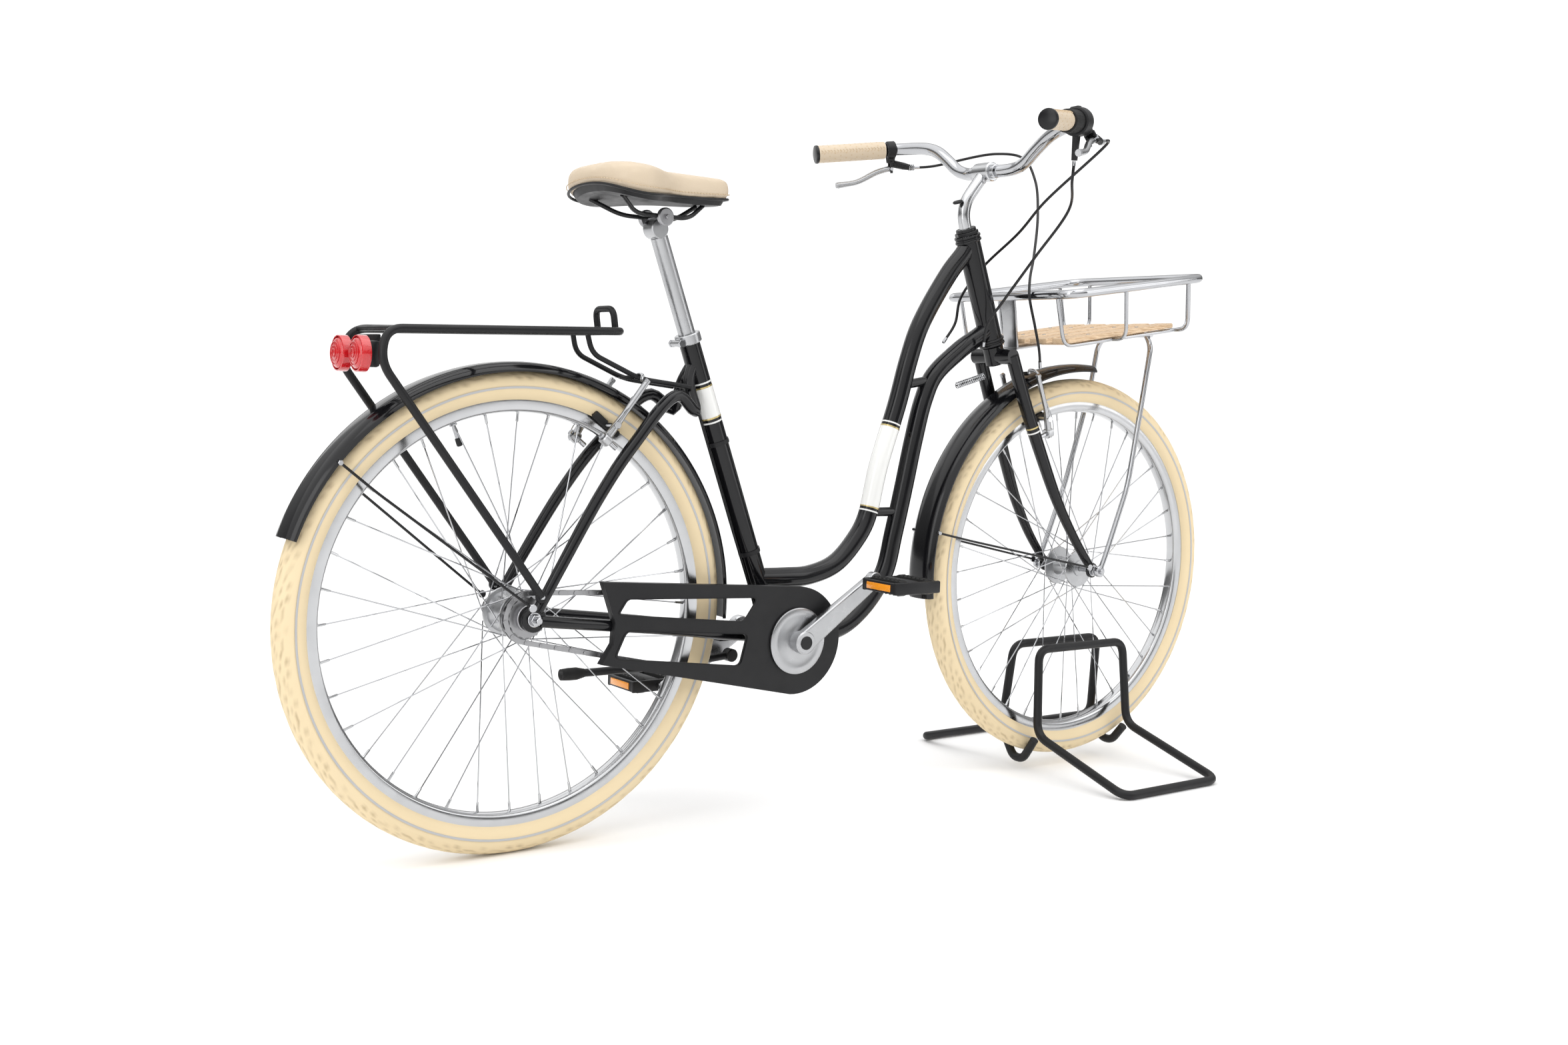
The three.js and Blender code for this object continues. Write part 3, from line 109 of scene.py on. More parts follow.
bpy.ops.object.light_add(type="SUN", location=(0, 0, 5), rotation=(0.25, -0.35, 0))
overhead = bpy.context.object
overhead.name = "overhead_glow"
overhead.data.energy = 1.6
overhead.data.angle = 2.2

world = bpy.data.worlds.new("studio")
bpy.context.scene.world = world
world.use_nodes = True
sky = world.node_tree
sky.nodes.clear()
sky_coords = sky.nodes.new("ShaderNodeTexCoord")
sky_split = sky.nodes.new("ShaderNodeSeparateXYZ")
sky_ramp = sky.nodes.new("ShaderNodeValToRGB")
sky_ramp.color_ramp.elements[0].color = (0.8, 0.8, 0.8, 1)
for place, grey in ((0.47, 0.6), (0.52, 0.14), (0.6, 0.3), (0.78, 0.85)):
    stop = sky_ramp.color_ramp.elements.new(place)
    stop.color = (grey, grey, grey, 1)
sky_range = sky.nodes.new("ShaderNodeMapRange")
sky_range.inputs["From Min"].default_value = -1
sky_light = sky.nodes.new("ShaderNodeBackground")
sky_light.inputs["Strength"].default_value = 0.9
sky_white = sky.nodes.new("ShaderNodeBackground")
sky_white.inputs["Color"].default_value = (1, 1, 1, 1)
sky_white.inputs["Strength"].default_value = 1.15
sky_path = sky.nodes.new("ShaderNodeLightPath")
sky_mix = sky.nodes.new("ShaderNodeMixShader")
sky_out = sky.nodes.new("ShaderNodeOutputWorld")
sky.links.new(sky_coords.outputs["Generated"], sky_split.inputs[0])
sky.links.new(sky_split.outputs["Z"], sky_range.inputs["Value"])
sky.links.new(sky_range.outputs["Result"], sky_ramp.inputs["Fac"])
sky.links.new(sky_ramp.outputs["Color"], sky_light.inputs["Color"])
sky.links.new(sky_path.outputs["Is Camera Ray"], sky_mix.inputs["Fac"])
sky.links.new(sky_light.outputs[0], sky_mix.inputs[1])
sky.links.new(sky_white.outputs[0], sky_mix.inputs[2])
sky.links.new(sky_mix.outputs[0], sky_out.inputs["Surface"])
bpy.context.scene.view_settings.view_transform = "Standard"

# %% [markdown]
# Real finishes are never one flat colour or one flat gloss. Three effects serve every finish here, so
# each is built once as a node group: `cloudy_value` makes a soft, uneven number for roughness,
# `cloudy_colour` drifts between two shades, and `fine_grain` gives a small bumpy height.

# %% Shared effects
def effect_group(name, inputs, outputs):
    """An empty shader group with number or colour inputs and named outputs."""
    group = bpy.data.node_groups.new(name, "ShaderNodeTree")
    for socket, kind, start in inputs:
        made = group.interface.new_socket(socket, in_out="INPUT", socket_type=kind)
        made.default_value = start
    for socket, kind in outputs:
        group.interface.new_socket(socket, in_out="OUTPUT", socket_type=kind)
    return group, group.nodes.new("NodeGroupInput"), group.nodes.new("NodeGroupOutput")


FLOAT, COLOUR = "NodeSocketFloat", "NodeSocketColor"

cloudy_value, g_in, g_out = effect_group(
    "cloudy_value", [("Scale", FLOAT, 30), ("Low", FLOAT, 0.2), ("High", FLOAT, 0.3)], [("Value", FLOAT)]
)
g_coords = cloudy_value.nodes.new("ShaderNodeTexCoord")
g_noise = cloudy_value.nodes.new("ShaderNodeTexNoise")
g_noise.inputs["Detail"].default_value = 5
g_range = cloudy_value.nodes.new("ShaderNodeMapRange")
g_range.inputs["From Min"].default_value = 0.3
g_range.inputs["From Max"].default_value = 0.7
cloudy_value.links.new(g_coords.outputs["Object"], g_noise.inputs["Vector"])
cloudy_value.links.new(g_in.outputs["Scale"], g_noise.inputs["Scale"])
cloudy_value.links.new(g_noise.outputs["Fac"], g_range.inputs["Value"])
cloudy_value.links.new(g_in.outputs["Low"], g_range.inputs["To Min"])
cloudy_value.links.new(g_in.outputs["High"], g_range.inputs["To Max"])
cloudy_value.links.new(g_range.outputs["Result"], g_out.inputs["Value"])

cloudy_colour, c_in, c_out = effect_group(
    "cloudy_colour",
    [("Scale", FLOAT, 12), ("Light", COLOUR, (1, 1, 1, 1)), ("Dark", COLOUR, (0, 0, 0, 1))],
    [("Color", COLOUR)],
)
c_coords = cloudy_colour.nodes.new("ShaderNodeTexCoord")
c_noise = cloudy_colour.nodes.new("ShaderNodeTexNoise")
c_noise.inputs["Detail"].default_value = 6
c_noise.inputs["Roughness"].default_value = 0.6
c_mix = cloudy_colour.nodes.new("ShaderNodeMix")
c_mix.data_type = "RGBA"
cloudy_colour.links.new(c_coords.outputs["Object"], c_noise.inputs["Vector"])
cloudy_colour.links.new(c_in.outputs["Scale"], c_noise.inputs["Scale"])
cloudy_colour.links.new(c_noise.outputs["Fac"], c_mix.inputs["Factor"])
cloudy_colour.links.new(c_in.outputs["Light"], c_mix.inputs["A"])
cloudy_colour.links.new(c_in.outputs["Dark"], c_mix.inputs["B"])
cloudy_colour.links.new(c_mix.outputs["Result"], c_out.inputs["Color"])

fine_grain, f_in, f_out = effect_group(
    "fine_grain", [("Scale", FLOAT, 800), ("Cells", FLOAT, 0.0)], [("Height", FLOAT)]
)
f_coords = fine_grain.nodes.new("ShaderNodeTexCoord")
f_noise = fine_grain.nodes.new("ShaderNodeTexNoise")
f_noise.inputs["Detail"].default_value = 3
f_cells = fine_grain.nodes.new("ShaderNodeTexVoronoi")
f_cells.feature = "SMOOTH_F1"
f_mix = fine_grain.nodes.new("ShaderNodeMix")
fine_grain.links.new(f_coords.outputs["Object"], f_noise.inputs["Vector"])
fine_grain.links.new(f_coords.outputs["Object"], f_cells.inputs["Vector"])
fine_grain.links.new(f_in.outputs["Scale"], f_noise.inputs["Scale"])
fine_grain.links.new(f_in.outputs["Scale"], f_cells.inputs["Scale"])
fine_grain.links.new(f_in.outputs["Cells"], f_mix.inputs["Factor"])
fine_grain.links.new(f_noise.outputs["Fac"], f_mix.inputs["A"])
fine_grain.links.new(f_cells.outputs["Distance"], f_mix.inputs["B"])
fine_grain.links.new(f_mix.outputs["Result"], f_out.inputs["Height"])
print("effects", [g.name for g in bpy.data.node_groups])

# %% [markdown]
# A finish is a Principled shader fed by the three effects. What is the same all over, such as the metal
# share or the clear coat, is set on the shader itself. Enamel gets a clear coat over deep black, plated
# steel a low even roughness, cast alloy a rougher and cloudier one, and rubber and leather a real grain.

# %% Finishes
FINISHES = {}


def group_node(tree, group, **values):
    """Places a shared effect in a material with its own values."""
    node = tree.nodes.new("ShaderNodeGroup")
    node.node_tree = group
    for key, value in values.items():
        node.inputs[key].default_value = value
    return node


def finish(
    name,
    light,
    dark,
    rough,
    metallic=0.0,
    coat=0.0,
    grain=(
        800,
        0.0),
        bump=0.0,
        patch=10,
        depth=0.0002,
         sheen=0.5):
    """One finish: two shades, a roughness range and a grain with its bump."""
    material = bpy.data.materials.new(name)
    material.use_nodes = True
    tree = material.node_tree
    shader = tree.nodes["Principled BSDF"]
    shader.inputs["Metallic"].default_value = metallic
    shader.inputs["Coat Weight"].default_value = coat
    shader.inputs["Specular IOR Level"].default_value = sheen
    shader.inputs["Coat Roughness"].default_value = 0.04
    shade = group_node(tree, cloudy_colour, Scale=patch, Light=(*light, 1), Dark=(*dark, 1))
    tree.links.new(shade.outputs["Color"], shader.inputs["Base Color"])
    gloss = group_node(tree, cloudy_value, Scale=patch * 4, Low=rough[0], High=rough[1])
    tree.links.new(gloss.outputs["Value"], shader.inputs["Roughness"])
    if bump:
        height = group_node(tree, fine_grain, Scale=grain[0], Cells=grain[1])
        raised = tree.nodes.new("ShaderNodeBump")
        raised.inputs["Strength"].default_value = bump
        raised.inputs["Distance"].default_value = depth
        tree.links.new(height.outputs["Height"], raised.inputs["Height"])
        tree.links.new(raised.outputs["Normal"], shader.inputs["Normal"])
    FINISHES[name] = material
    return material


finish("black_enamel", (0.006, 0.006, 0.007), (0.004, 0.004, 0.005),
       (0.10, 0.2), coat=0.15, grain=(420, 0), bump=0.12, sheen=0.3)
finish("black_powder", (0.012, 0.012, 0.013), (0.008, 0.008, 0.009),
       (0.32, 0.45), grain=(1500, 0.2), bump=0.3, sheen=0.28)
finish("plated_steel", (0.50, 0.505, 0.52), (0.40, 0.405, 0.42),
       (0.06, 0.13), metallic=1, grain=(260, 0), bump=0.03)
finish("satin_alloy", (0.50, 0.505, 0.515), (0.41, 0.415, 0.425),
       (0.24, 0.36), metallic=1, grain=(1400, 0), bump=0.12)
finish("polished_alloy", (0.56, 0.565, 0.575), (0.46, 0.465, 0.475),
       (0.12, 0.22), metallic=1, grain=(900, 0), bump=0.06)
finish("grey_steel", (0.42, 0.42, 0.43), (0.3, 0.3, 0.31),
       (0.3, 0.42), metallic=1, grain=(1200, 0), bump=0.15)
finish("black_plastic", (0.014, 0.014, 0.015), (0.009, 0.009, 0.01),
       (0.34, 0.5), grain=(1700, 0.5), bump=0.25, sheen=0.28)
finish("gloss_plastic", (0.012, 0.012, 0.013), (0.008, 0.008, 0.009),
       (0.16, 0.26), grain=(700, 0), bump=0.06, sheen=0.3)
finish("black_rubber", (0.016, 0.016, 0.016), (0.01, 0.01, 0.01),
       (0.5, 0.68), grain=(1300, 0.4), bump=0.35, sheen=0.25)
finish("beige_leather", (0.64, 0.53, 0.395), (0.57, 0.465, 0.34),
       (0.42, 0.58), grain=(620, 0.75), bump=0.4, patch=7, depth=0.0004)
finish("stitch_thread", (0.62, 0.49, 0.33), (0.52, 0.4, 0.26), (0.6, 0.75), grain=(2500, 0.3), bump=0.5)
finish("white_paint", (0.82, 0.82, 0.80), (0.76, 0.76, 0.74),
       (0.12, 0.2), coat=0.6, grain=(500, 0), bump=0.05)
finish("gold_paint", (0.62, 0.5, 0.22), (0.5, 0.39, 0.15),
       (0.2, 0.3), metallic=0.6, coat=0.5, grain=(900, 0), bump=0.1)
finish("amber_lens", (0.95, 0.36, 0.02), (0.8, 0.25, 0.01),
       (0.08, 0.16), coat=0.6, grain=(480, 1.0), bump=0.8, depth=0.0006)
finish("red_lens", (0.62, 0.014, 0.02), (0.5, 0.008, 0.012),
       (0.06, 0.12), coat=0.9, grain=(420, 1.0), bump=0.7, depth=0.0006)
print("finishes", len(FINISHES))

# %% [markdown]
# Most of a bicycle is bent tube. A curve is drawn along the tube's centre, given a round bevel
# and turned into a mesh. `smooth_path` runs a flowing line through a few points, `bent_path` keeps
# straight runs and rounds their corners, and `tube` sweeps a round section along either.

# %% Paths and tubes
WHEEL_TO_MIDDLE = 0.5875


def at(x, y, z):
    """A place in metres from millimetres: x forward of the rear axle, y to the left, z above the floor."""
    return Vector((x / 1000 - WHEEL_TO_MIDDLE, y / 1000, z / 1000))


def clear_selection():
    """Nothing selected, so that the next operator acts only on its own piece."""
    if bpy.context.object and bpy.context.object.mode != "OBJECT":
        bpy.ops.object.mode_set(mode="OBJECT")
    bpy.ops.object.select_all(action="DESELECT")


def smooth_path(points, count):
    """A flowing line through the points, evenly spaced along its length."""
    ends = [points[0] * 2 - points[1], *points, points[-1] * 2 - points[-2]]
    fine = []
    for i in range(1, len(ends) - 2):
        p0, p1, p2, p3 = ends[i - 1 : i + 3]
        t1 = max((p1 - p0).length, 1e-9) ** 0.5
        t2 = t1 + max((p2 - p1).length, 1e-9) ** 0.5
        t3 = t2 + max((p3 - p2).length, 1e-9) ** 0.5
        for k in range(16):
            t = t1 + (t2 - t1) * k / 16
            a1 = p0 * ((t1 - t) / t1) + p1 * (t / t1)
            a2 = p1 * ((t2 - t) / (t2 - t1)) + p2 * ((t - t1) / (t2 - t1))
            a3 = p2 * ((t3 - t) / (t3 - t2)) + p3 * ((t - t2) / (t3 - t2))
            b1 = a1 * ((t2 - t) / t2) + a2 * (t / t2)
            b2 = a2 * ((t3 - t) / (t3 - t1)) + a3 * ((t - t1) / (t3 - t1))
            fine.append(b1 * ((t2 - t) / (t2 - t1)) + b2 * ((t - t1) / (t2 - t1)))
    fine.append(points[-1].copy())
    return resample(fine, count)


def resample(line, count, start=0.0, end=1.0):
    """Evenly spaced points between two shares of a line's length."""
    reach = [0.0]
    for a, b in zip(line, line[1:]):
        reach.append(reach[-1] + (b - a).length)
    places, i = [], 0
    for k in range(count + 1):
        want = reach[-1] * (start + (end - start) * k / count)
        while i < len(reach) - 2 and reach[i + 1] < want:
            i += 1
        share = (want - reach[i]) / max(reach[i + 1] - reach[i], 1e-9)
        places.append(line[i].lerp(line[i + 1], min(max(share, 0), 1)))
    return places


def bent_path(points, bend, steps=6):
    """Straight runs whose corners are rounded; bend is how far each rounding reaches, in millimetres."""
    line = [points[0].copy()]
    for before, corner, after in zip(points, points[1:], points[2:]):
        reach = min(bend / 1000, (corner - before).length * 0.48, (after - corner).length * 0.48)
        start = corner + (before - corner).normalized() * reach
        end = corner + (after - corner).normalized() * reach
        for k in range(steps + 1):
            t = k / steps
            line.append(start * (1 - t) ** 2 + corner * 2 * t * (1 - t) + end * t**2)
    line.append(points[-1].copy())
    return line


def tube(name, path, radius, sides=16, radii=None, closed=False):
    """A round tube along a path; radius in millimetres, radii as shares of it along the way."""
    clear_selection()
    bpy.ops.curve.primitive_bezier_curve_add()
    piece = bpy.context.object
    piece.name = name
    line = piece.data
    line.splines.clear()
    spline = line.splines.new("POLY")
    spline.points.add(len(path) - 1)
    for i, (point, place) in enumerate(zip(spline.points, path)):
        point.co = (*place, 1)
        if radii:
            spot = i / (len(path) - 1) * (len(radii) - 1)
            low = min(int(spot), len(radii) - 2)
            point.radius = radii[low] + (radii[low + 1] - radii[low]) * (spot - low)
    spline.use_cyclic_u = closed
    line.dimensions = "3D"
    line.bevel_depth = radius / 1000
    line.bevel_resolution = max(0, sides // 2 - 2)
    line.use_fill_caps = not closed
    bpy.ops.object.convert(target="MESH")
    return bpy.context.object


# %% [markdown]
# Turned parts such as rims, hubs, nuts and lenses are a flat outline spun about an axis. The outline
# starts as a circle whose corners are moved into place, and the spin tool carries it round.

# %% Turned parts and plates
def aim(axis):
    """The turn that carries +Z onto an axis."""
    return Vector((0, 0, 1)).rotation_difference(Vector(axis).normalized()).to_matrix().to_4x4()


def turned(name, profile, segments, place, axis=(0, 1, 0), sweep=360):
    """Spins an outline of (radius, along) pairs in millimetres about an axis through a place."""
    clear_selection()
    bpy.ops.mesh.primitive_circle_add(vertices=len(profile))
    piece = bpy.context.object
    piece.name = name
    for vertex, (radius, along) in zip(piece.data.vertices, profile):
        vertex.co = (radius / 1000, 0, along / 1000)
    bpy.ops.object.mode_set(mode="EDIT")
    bpy.ops.mesh.select_all(action="SELECT")
    bpy.ops.mesh.spin(steps=segments, angle=math.radians(sweep), center=(0, 0, 0), axis=(0, 0, 1))
    bpy.ops.mesh.select_all(action="SELECT")
    bpy.ops.mesh.remove_doubles(threshold=2e-6)
    bpy.ops.mesh.dissolve_degenerate(threshold=1e-7)
    bpy.ops.mesh.normals_make_consistent(inside=False)
    bpy.ops.object.mode_set(mode="OBJECT")
    piece.data.transform(Matrix.Translation(place) @ aim(axis))
    piece.matrix_world = Matrix.Identity(4)
    return piece


def rounded_bar(name, low, high, radius, place, axis, segments=24, edge=0.8):
    """A short solid bar with softened ends, from low to high along an axis, in millimetres."""
    profile = [(0, low), (radius - edge, low), (radius, low + edge),
                (radius, high - edge), (radius - edge, high), (0, high)]
    return turned(name, profile, segments, place, axis)


def soft_box(name, size, place, rounding=1.0, tilt=None):
    """A block with rounded edges; size and rounding in millimetres, tilt a rotation matrix."""
    clear_selection()
    bpy.ops.mesh.primitive_cube_add(size=1)
    piece = bpy.context.object
    piece.name = name
    piece.data.transform(Matrix.Diagonal((size[0] / 1000, size[1] / 1000, size[2] / 1000, 1)))
    soften(piece, rounding)
    piece.data.transform(Matrix.Translation(place) @ (tilt or Matrix.Identity(4)))
    return piece


def soften(piece, width, segments=2):
    """Rounds a piece's sharp edges by a width in millimetres."""
    bpy.context.view_layer.objects.active = piece
    bevel = piece.modifiers.new("rounding", "BEVEL")
    bevel.width = width / 1000
    bevel.segments = segments
    bevel.limit_method = "ANGLE"
    bevel.angle_limit = math.radians(40)
    bpy.ops.object.modifier_apply(modifier=bevel.name)


def side_plate(name, outline, low, high, rounding=0.5, holes=()):
    """A plate in the bicycle's side plane from outlines of places, between two y values in millimetres."""
    clear_selection()
    bpy.ops.curve.primitive_bezier_curve_add()
    piece = bpy.context.object
    piece.name = name
    line = piece.data
    line.splines.clear()
    line.dimensions = "2D"
    line.fill_mode = "BOTH"
    for loop in (outline, *holes):
        spline = line.splines.new("POLY")
        spline.points.add(len(loop) - 1)
        for point, place in zip(spline.points, loop):
            point.co = (place.x, place.z, 0, 1)
        spline.use_cyclic_u = True
    line.extrude = (high - low) / 2000 - rounding / 1000
    line.bevel_depth = rounding / 1000
    line.bevel_resolution = 2
    line.offset = -rounding / 1000
    bpy.ops.object.convert(target="MESH")
    piece = bpy.context.object
    middle = Vector((0, (low + high) / 2000, 0))
    piece.data.transform(Matrix.Translation(middle) @ Matrix.Rotation(math.radians(90), 4, "X"))
    return piece


def joined(name, pieces):
    """Several shapes made one object."""
    clear_selection()
    for piece in pieces:
        piece.select_set(True)
    bpy.context.view_layer.objects.active = pieces[0]
    if len(pieces) > 1:
        bpy.ops.object.join()
    bpy.context.object.name = name
    return bpy.context.object


def paint(piece, finish_name):
    """Gives a shape its finish, before or after it is joined to others."""
    piece.data.materials.clear()
    piece.data.materials.append(FINISHES[finish_name])
    return piece


def mount(piece, body, slot, *stands_for, crease=32):
    """Shades a finished piece, hangs it on its body and hides the parts it stands for."""
    clear_selection()
    piece.select_set(True)
    bpy.context.view_layer.objects.active = piece
    bpy.ops.object.transform_apply(location=True, rotation=True, scale=True)
    bpy.ops.object.shade_smooth_by_angle(angle=math.radians(crease))
    if body:
        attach(piece, body)
    if stands_for:
        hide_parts(*stands_for)
    return piece


def ring_points(centre, radius, count, start=0.0, sweep=360.0):
    """Places round a circle in the bicycle's side plane; radius in millimetres, angles from +X to +Z."""
    turns = [math.radians(start + sweep * i / count) for i in range(count + (sweep < 360))]
    return [centre + Vector((math.cos(t), 0, math.sin(t))) * (radius / 1000) for t in turns]


# %% [markdown]
# The places that the CAD part is laid out from are worked out once more: the axles, the steering line,
# the seat tube's line and the bottom bracket.

# %% Main places
TYRE_RADIUS = 358.5
BEAD_RADIUS = 311
REAR = at(0, 0, TYRE_RADIUS)
FRONT = at(1175, 0, TYRE_RADIUS + 22)
HEAD_TURN = math.radians(68.9)
STEER_UP = Vector((-math.cos(HEAD_TURN), 0, math.sin(HEAD_TURN)))
STEER_FORWARD = Vector((math.sin(HEAD_TURN), 0, math.cos(HEAD_TURN)))
LOWER_HEAD = FRONT - STEER_FORWARD * 0.0644 + STEER_UP * 0.4675
BRACKET = at(472, 0, 296.5)
SEAT_FOOT = at(477, 0, 296.5)


def on_steering(forward, y, up):
    """A place measured from the lower head bearing, along the steering line, in millimetres."""
    return LOWER_HEAD + (STEER_FORWARD * forward + STEER_UP * up + Vector((0, y, 0))) / 1000


def on_seat_tube(forward, y, up):
    """A place measured from the foot of the seat tube, which is parallel to the steering line."""
    return SEAT_FOOT + (STEER_FORWARD * forward + STEER_UP * up + Vector((0, y, 0))) / 1000


def on_frame(along, height, y=0):
    """A place as shares of the way from the bottom bracket to the lower head bearing."""
    x = BRACKET.x + (LOWER_HEAD.x - BRACKET.x) * along
    z = BRACKET.z + (LOWER_HEAD.z - BRACKET.z) * height
    return Vector((x, y / 1000, z))


print("lower head", [round(v, 4) for v in LOWER_HEAD])

# %% [markdown]
# The tyres are the largest coloured surfaces. A torus is shaped into a balloon tyre, and its tread is
# cut into the rubber itself: shallow slanting grooves that meet in a net over the crown, as shallow as
# a road tyre's. The colour drifts a little, and painted shade darkens the colour down in the grooves.

# %% Tyre rubber
tyre_rubber = finish("cream_rubber", (0.80, 0.66, 0.43), (0.73, 0.59, 0.37),
                     (0.62, 0.8), grain=(1500, 0.3), bump=0.3, patch=5)
rubber_tree = tyre_rubber.node_tree
groove_shade_mask = rubber_tree.nodes.new("ShaderNodeAttribute")
groove_shade_mask.attribute_name = "groove"
# Inside the grooves the colour is mixed toward a darker brown: painted shade for the shadow that falls down
# in them.
groove_shade_mix = rubber_tree.nodes.new("ShaderNodeMix")
groove_shade_mix.data_type = "RGBA"
groove_shade_mix.inputs["B"].default_value = (0.5, 0.385, 0.23, 1)
rubber_shader = rubber_tree.nodes["Principled BSDF"]
rubber_link = rubber_shader.inputs["Base Color"].links[0]
rubber_tree.links.new(rubber_link.from_socket, groove_shade_mix.inputs["A"])
rubber_tree.links.new(groove_shade_mask.outputs["Fac"], groove_shade_mix.inputs["Factor"])
rubber_tree.links.new(groove_shade_mix.outputs["Result"], rubber_shader.inputs["Base Color"])
finish("stripe_grey", (0.5, 0.5, 0.5), (0.42, 0.42, 0.43), (0.3, 0.45), grain=(1500, 0.6), bump=0.3)

TREAD_STEPS = 1260
TREAD_PITCH = 15
SIDE_STEPS = 44


def near_line(value, width):
    """1 on a whole number, falling to 0 at a width either side of it."""
    return max(0.0, 1 - abs(value - round(value)) / width)


def tyre(name, axle):
    """A balloon tyre about an axle, with grooves cut into its tread."""
    clear_selection()
    bpy.ops.mesh.primitive_torus_add(
        major_segments=TREAD_STEPS, minor_segments=SIDE_STEPS, major_radius=1, minor_radius=0.1
    )
    piece = bpy.context.object
    piece.name = name
    middle = (TYRE_RADIUS + BEAD_RADIUS) / 2
    tall = (TYRE_RADIUS - BEAD_RADIUS) / 2
    grooves = piece.data.attributes.new("groove", "FLOAT", "POINT")
    cuts = []
    for vertex in piece.data.vertices:
        round_turn = math.atan2(vertex.co.y, vertex.co.x)
        out = math.hypot(vertex.co.x, vertex.co.y) - 1
        side_turn = math.atan2(vertex.co.z, out)
        across = side_turn * 24
        around = round_turn / (2 * math.pi) * (2 * math.pi * TYRE_RADIUS) / TREAD_PITCH
        around *= round(2 * math.pi * TYRE_RADIUS / TREAD_PITCH) / (2 * math.pi * TYRE_RADIUS / TREAD_PITCH)
        slant = abs(across) / 26
        cut = 0.0
        if abs(side_turn) < 1.15:
            cut = max(near_line(around + slant, 0.09), near_line(around - slant, 0.09))
        if abs(abs(across) - 5) < 0.9:
            cut = 1.0
        fade = min(1.0, max(0.0, (1.2 - abs(side_turn)) / 0.1))
        cut *= fade
        cuts.append(cut)
        swell = 1 + 0.03 * math.cos(2 * side_turn)
        radius = middle + tall * math.cos(side_turn) - 0.9 * cut * math.cos(side_turn)
        flat = 23.9 * math.sin(side_turn) * swell - 0.6 * cut * math.sin(side_turn)
        vertex.co = (
            axle.x + radius / 1000 * math.cos(round_turn),
            flat / 1000,
            axle.z + radius / 1000 * math.sin(round_turn),
        )
    grooves.data.foreach_set("value", cuts)
    bpy.ops.object.mode_set(mode="EDIT")
    bpy.ops.mesh.select_all(action="SELECT")
    bpy.ops.mesh.normals_make_consistent(inside=False)
    bpy.ops.object.mode_set(mode="OBJECT")
    piece.data.materials.append(tyre_rubber)
    return piece


for word, axle in (("rear", REAR), ("front", FRONT)):
    mount(tyre(f"{word}_tyre_rubber", axle), f"{word}_wheel", "cream_tyre", f"{word}_tyre", crease=60)
    stripes = []
    for side in (-1, 1):
        profile = [(331.6, 23.2), (333.2, 23.75), (334.8, 23.95),
                    (334.8, 24.15), (333.2, 24.0), (331.6, 23.5)]
        band = turned("stripe", [(r, side * a) for r, a in profile], 144, axle)
        stripes.append(paint(band, "stripe_grey"))
    mount(joined(f"{word}_tyre_stripes", stripes), f"{word}_wheel", "cream_tyre")
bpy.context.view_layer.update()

# %% [markdown]
# A rim is one turned outline: two walls, a well between them and a rolled hook on either side. Thirty-six
# spokes cross in pairs from the hub to the rim, each a thin wire with a fat bright nipple at the rim.

# %% Rims, spokes and hubs
SPOKES = 36
RIM = [(317, 13.4), (317, 11.2), (313, 10.6), (309, 10.2), (303, 5.2), (302.2, 0), (303, -
    5.2), (309, -
    10.2), (313, -
    10.6), (317, -
    11.2), (317, -
    13.4), (315.6, -
    13.6), (302.6, -
    13.1), (300.2, -
    12.2), (298, -
    9), (296.7, -
    4), (296.5, 0), (296.7, 4), (298, 9), (300.2, 12.2), (302.6, 13.1), (315.6, 13.6)]


def spoke_ends(number, half, flange):
    """Where a spoke starts on the hub and ends at the rim, as places about the axle."""
    side = 1 if number % 2 == 0 else -1
    place = number // 2
    lean = math.radians(60 if place % 2 == 0 else -60)
    start_turn = math.radians(place * 20 + (0 if side > 0 else 10))
    end_turn = start_turn + lean
    y = side * (half + (2.4 if place % 2 == 0 else -2.4))
    start = Vector((math.cos(start_turn) * flange, y, math.sin(start_turn) * flange)) / 1000
    end = Vector((math.cos(end_turn) * 296.3, side * 0.9, math.sin(end_turn) * 296.3)) / 1000
    return start, end


def laced(name, axle, half, flange):
    """All spokes of a wheel as one piece, each with its nipple."""
    wires = []
    for number in range(SPOKES):
        start, end = spoke_ends(number, half, flange)
        along = (end - start).normalized()
        path = [axle + start, axle + start.lerp(end, 0.5), axle + end - along * 0.001]
        wires.append(paint(tube("spoke", path, 1.05, 8), "plated_steel"))
        nipple = [
    axle + end - along * 0.014,
    axle + end - along * 0.013,
    axle + end - along * 0.003,
     axle + end]
        wires.append(paint(tube("nipple", nipple, 2.0, 10, radii=[0.6, 1.0, 1.0, 1.25]), "polished_alloy"))
    return joined(name, wires)


def hub(name, axle, half, flange_half, flange, body, end):
    """A turned hub shell with two flanges, waisted between them."""
    profile = [(5.5, -half), (end, -half), (end, -flange_half - 3),
                (flange - 1, -flange_half - 1.8), (flange, -flange_half)]
    profile += [(flange - 1, -flange_half + 1.8), (body + 1, -flange_half + 3),
                 (body, -flange_half + 8), (body - 2, 0)]
    profile += [(r, -a) for r, a in reversed(profile[:8])]
    shell = turned(name, profile, 64, axle)
    return paint(shell, "satin_alloy")


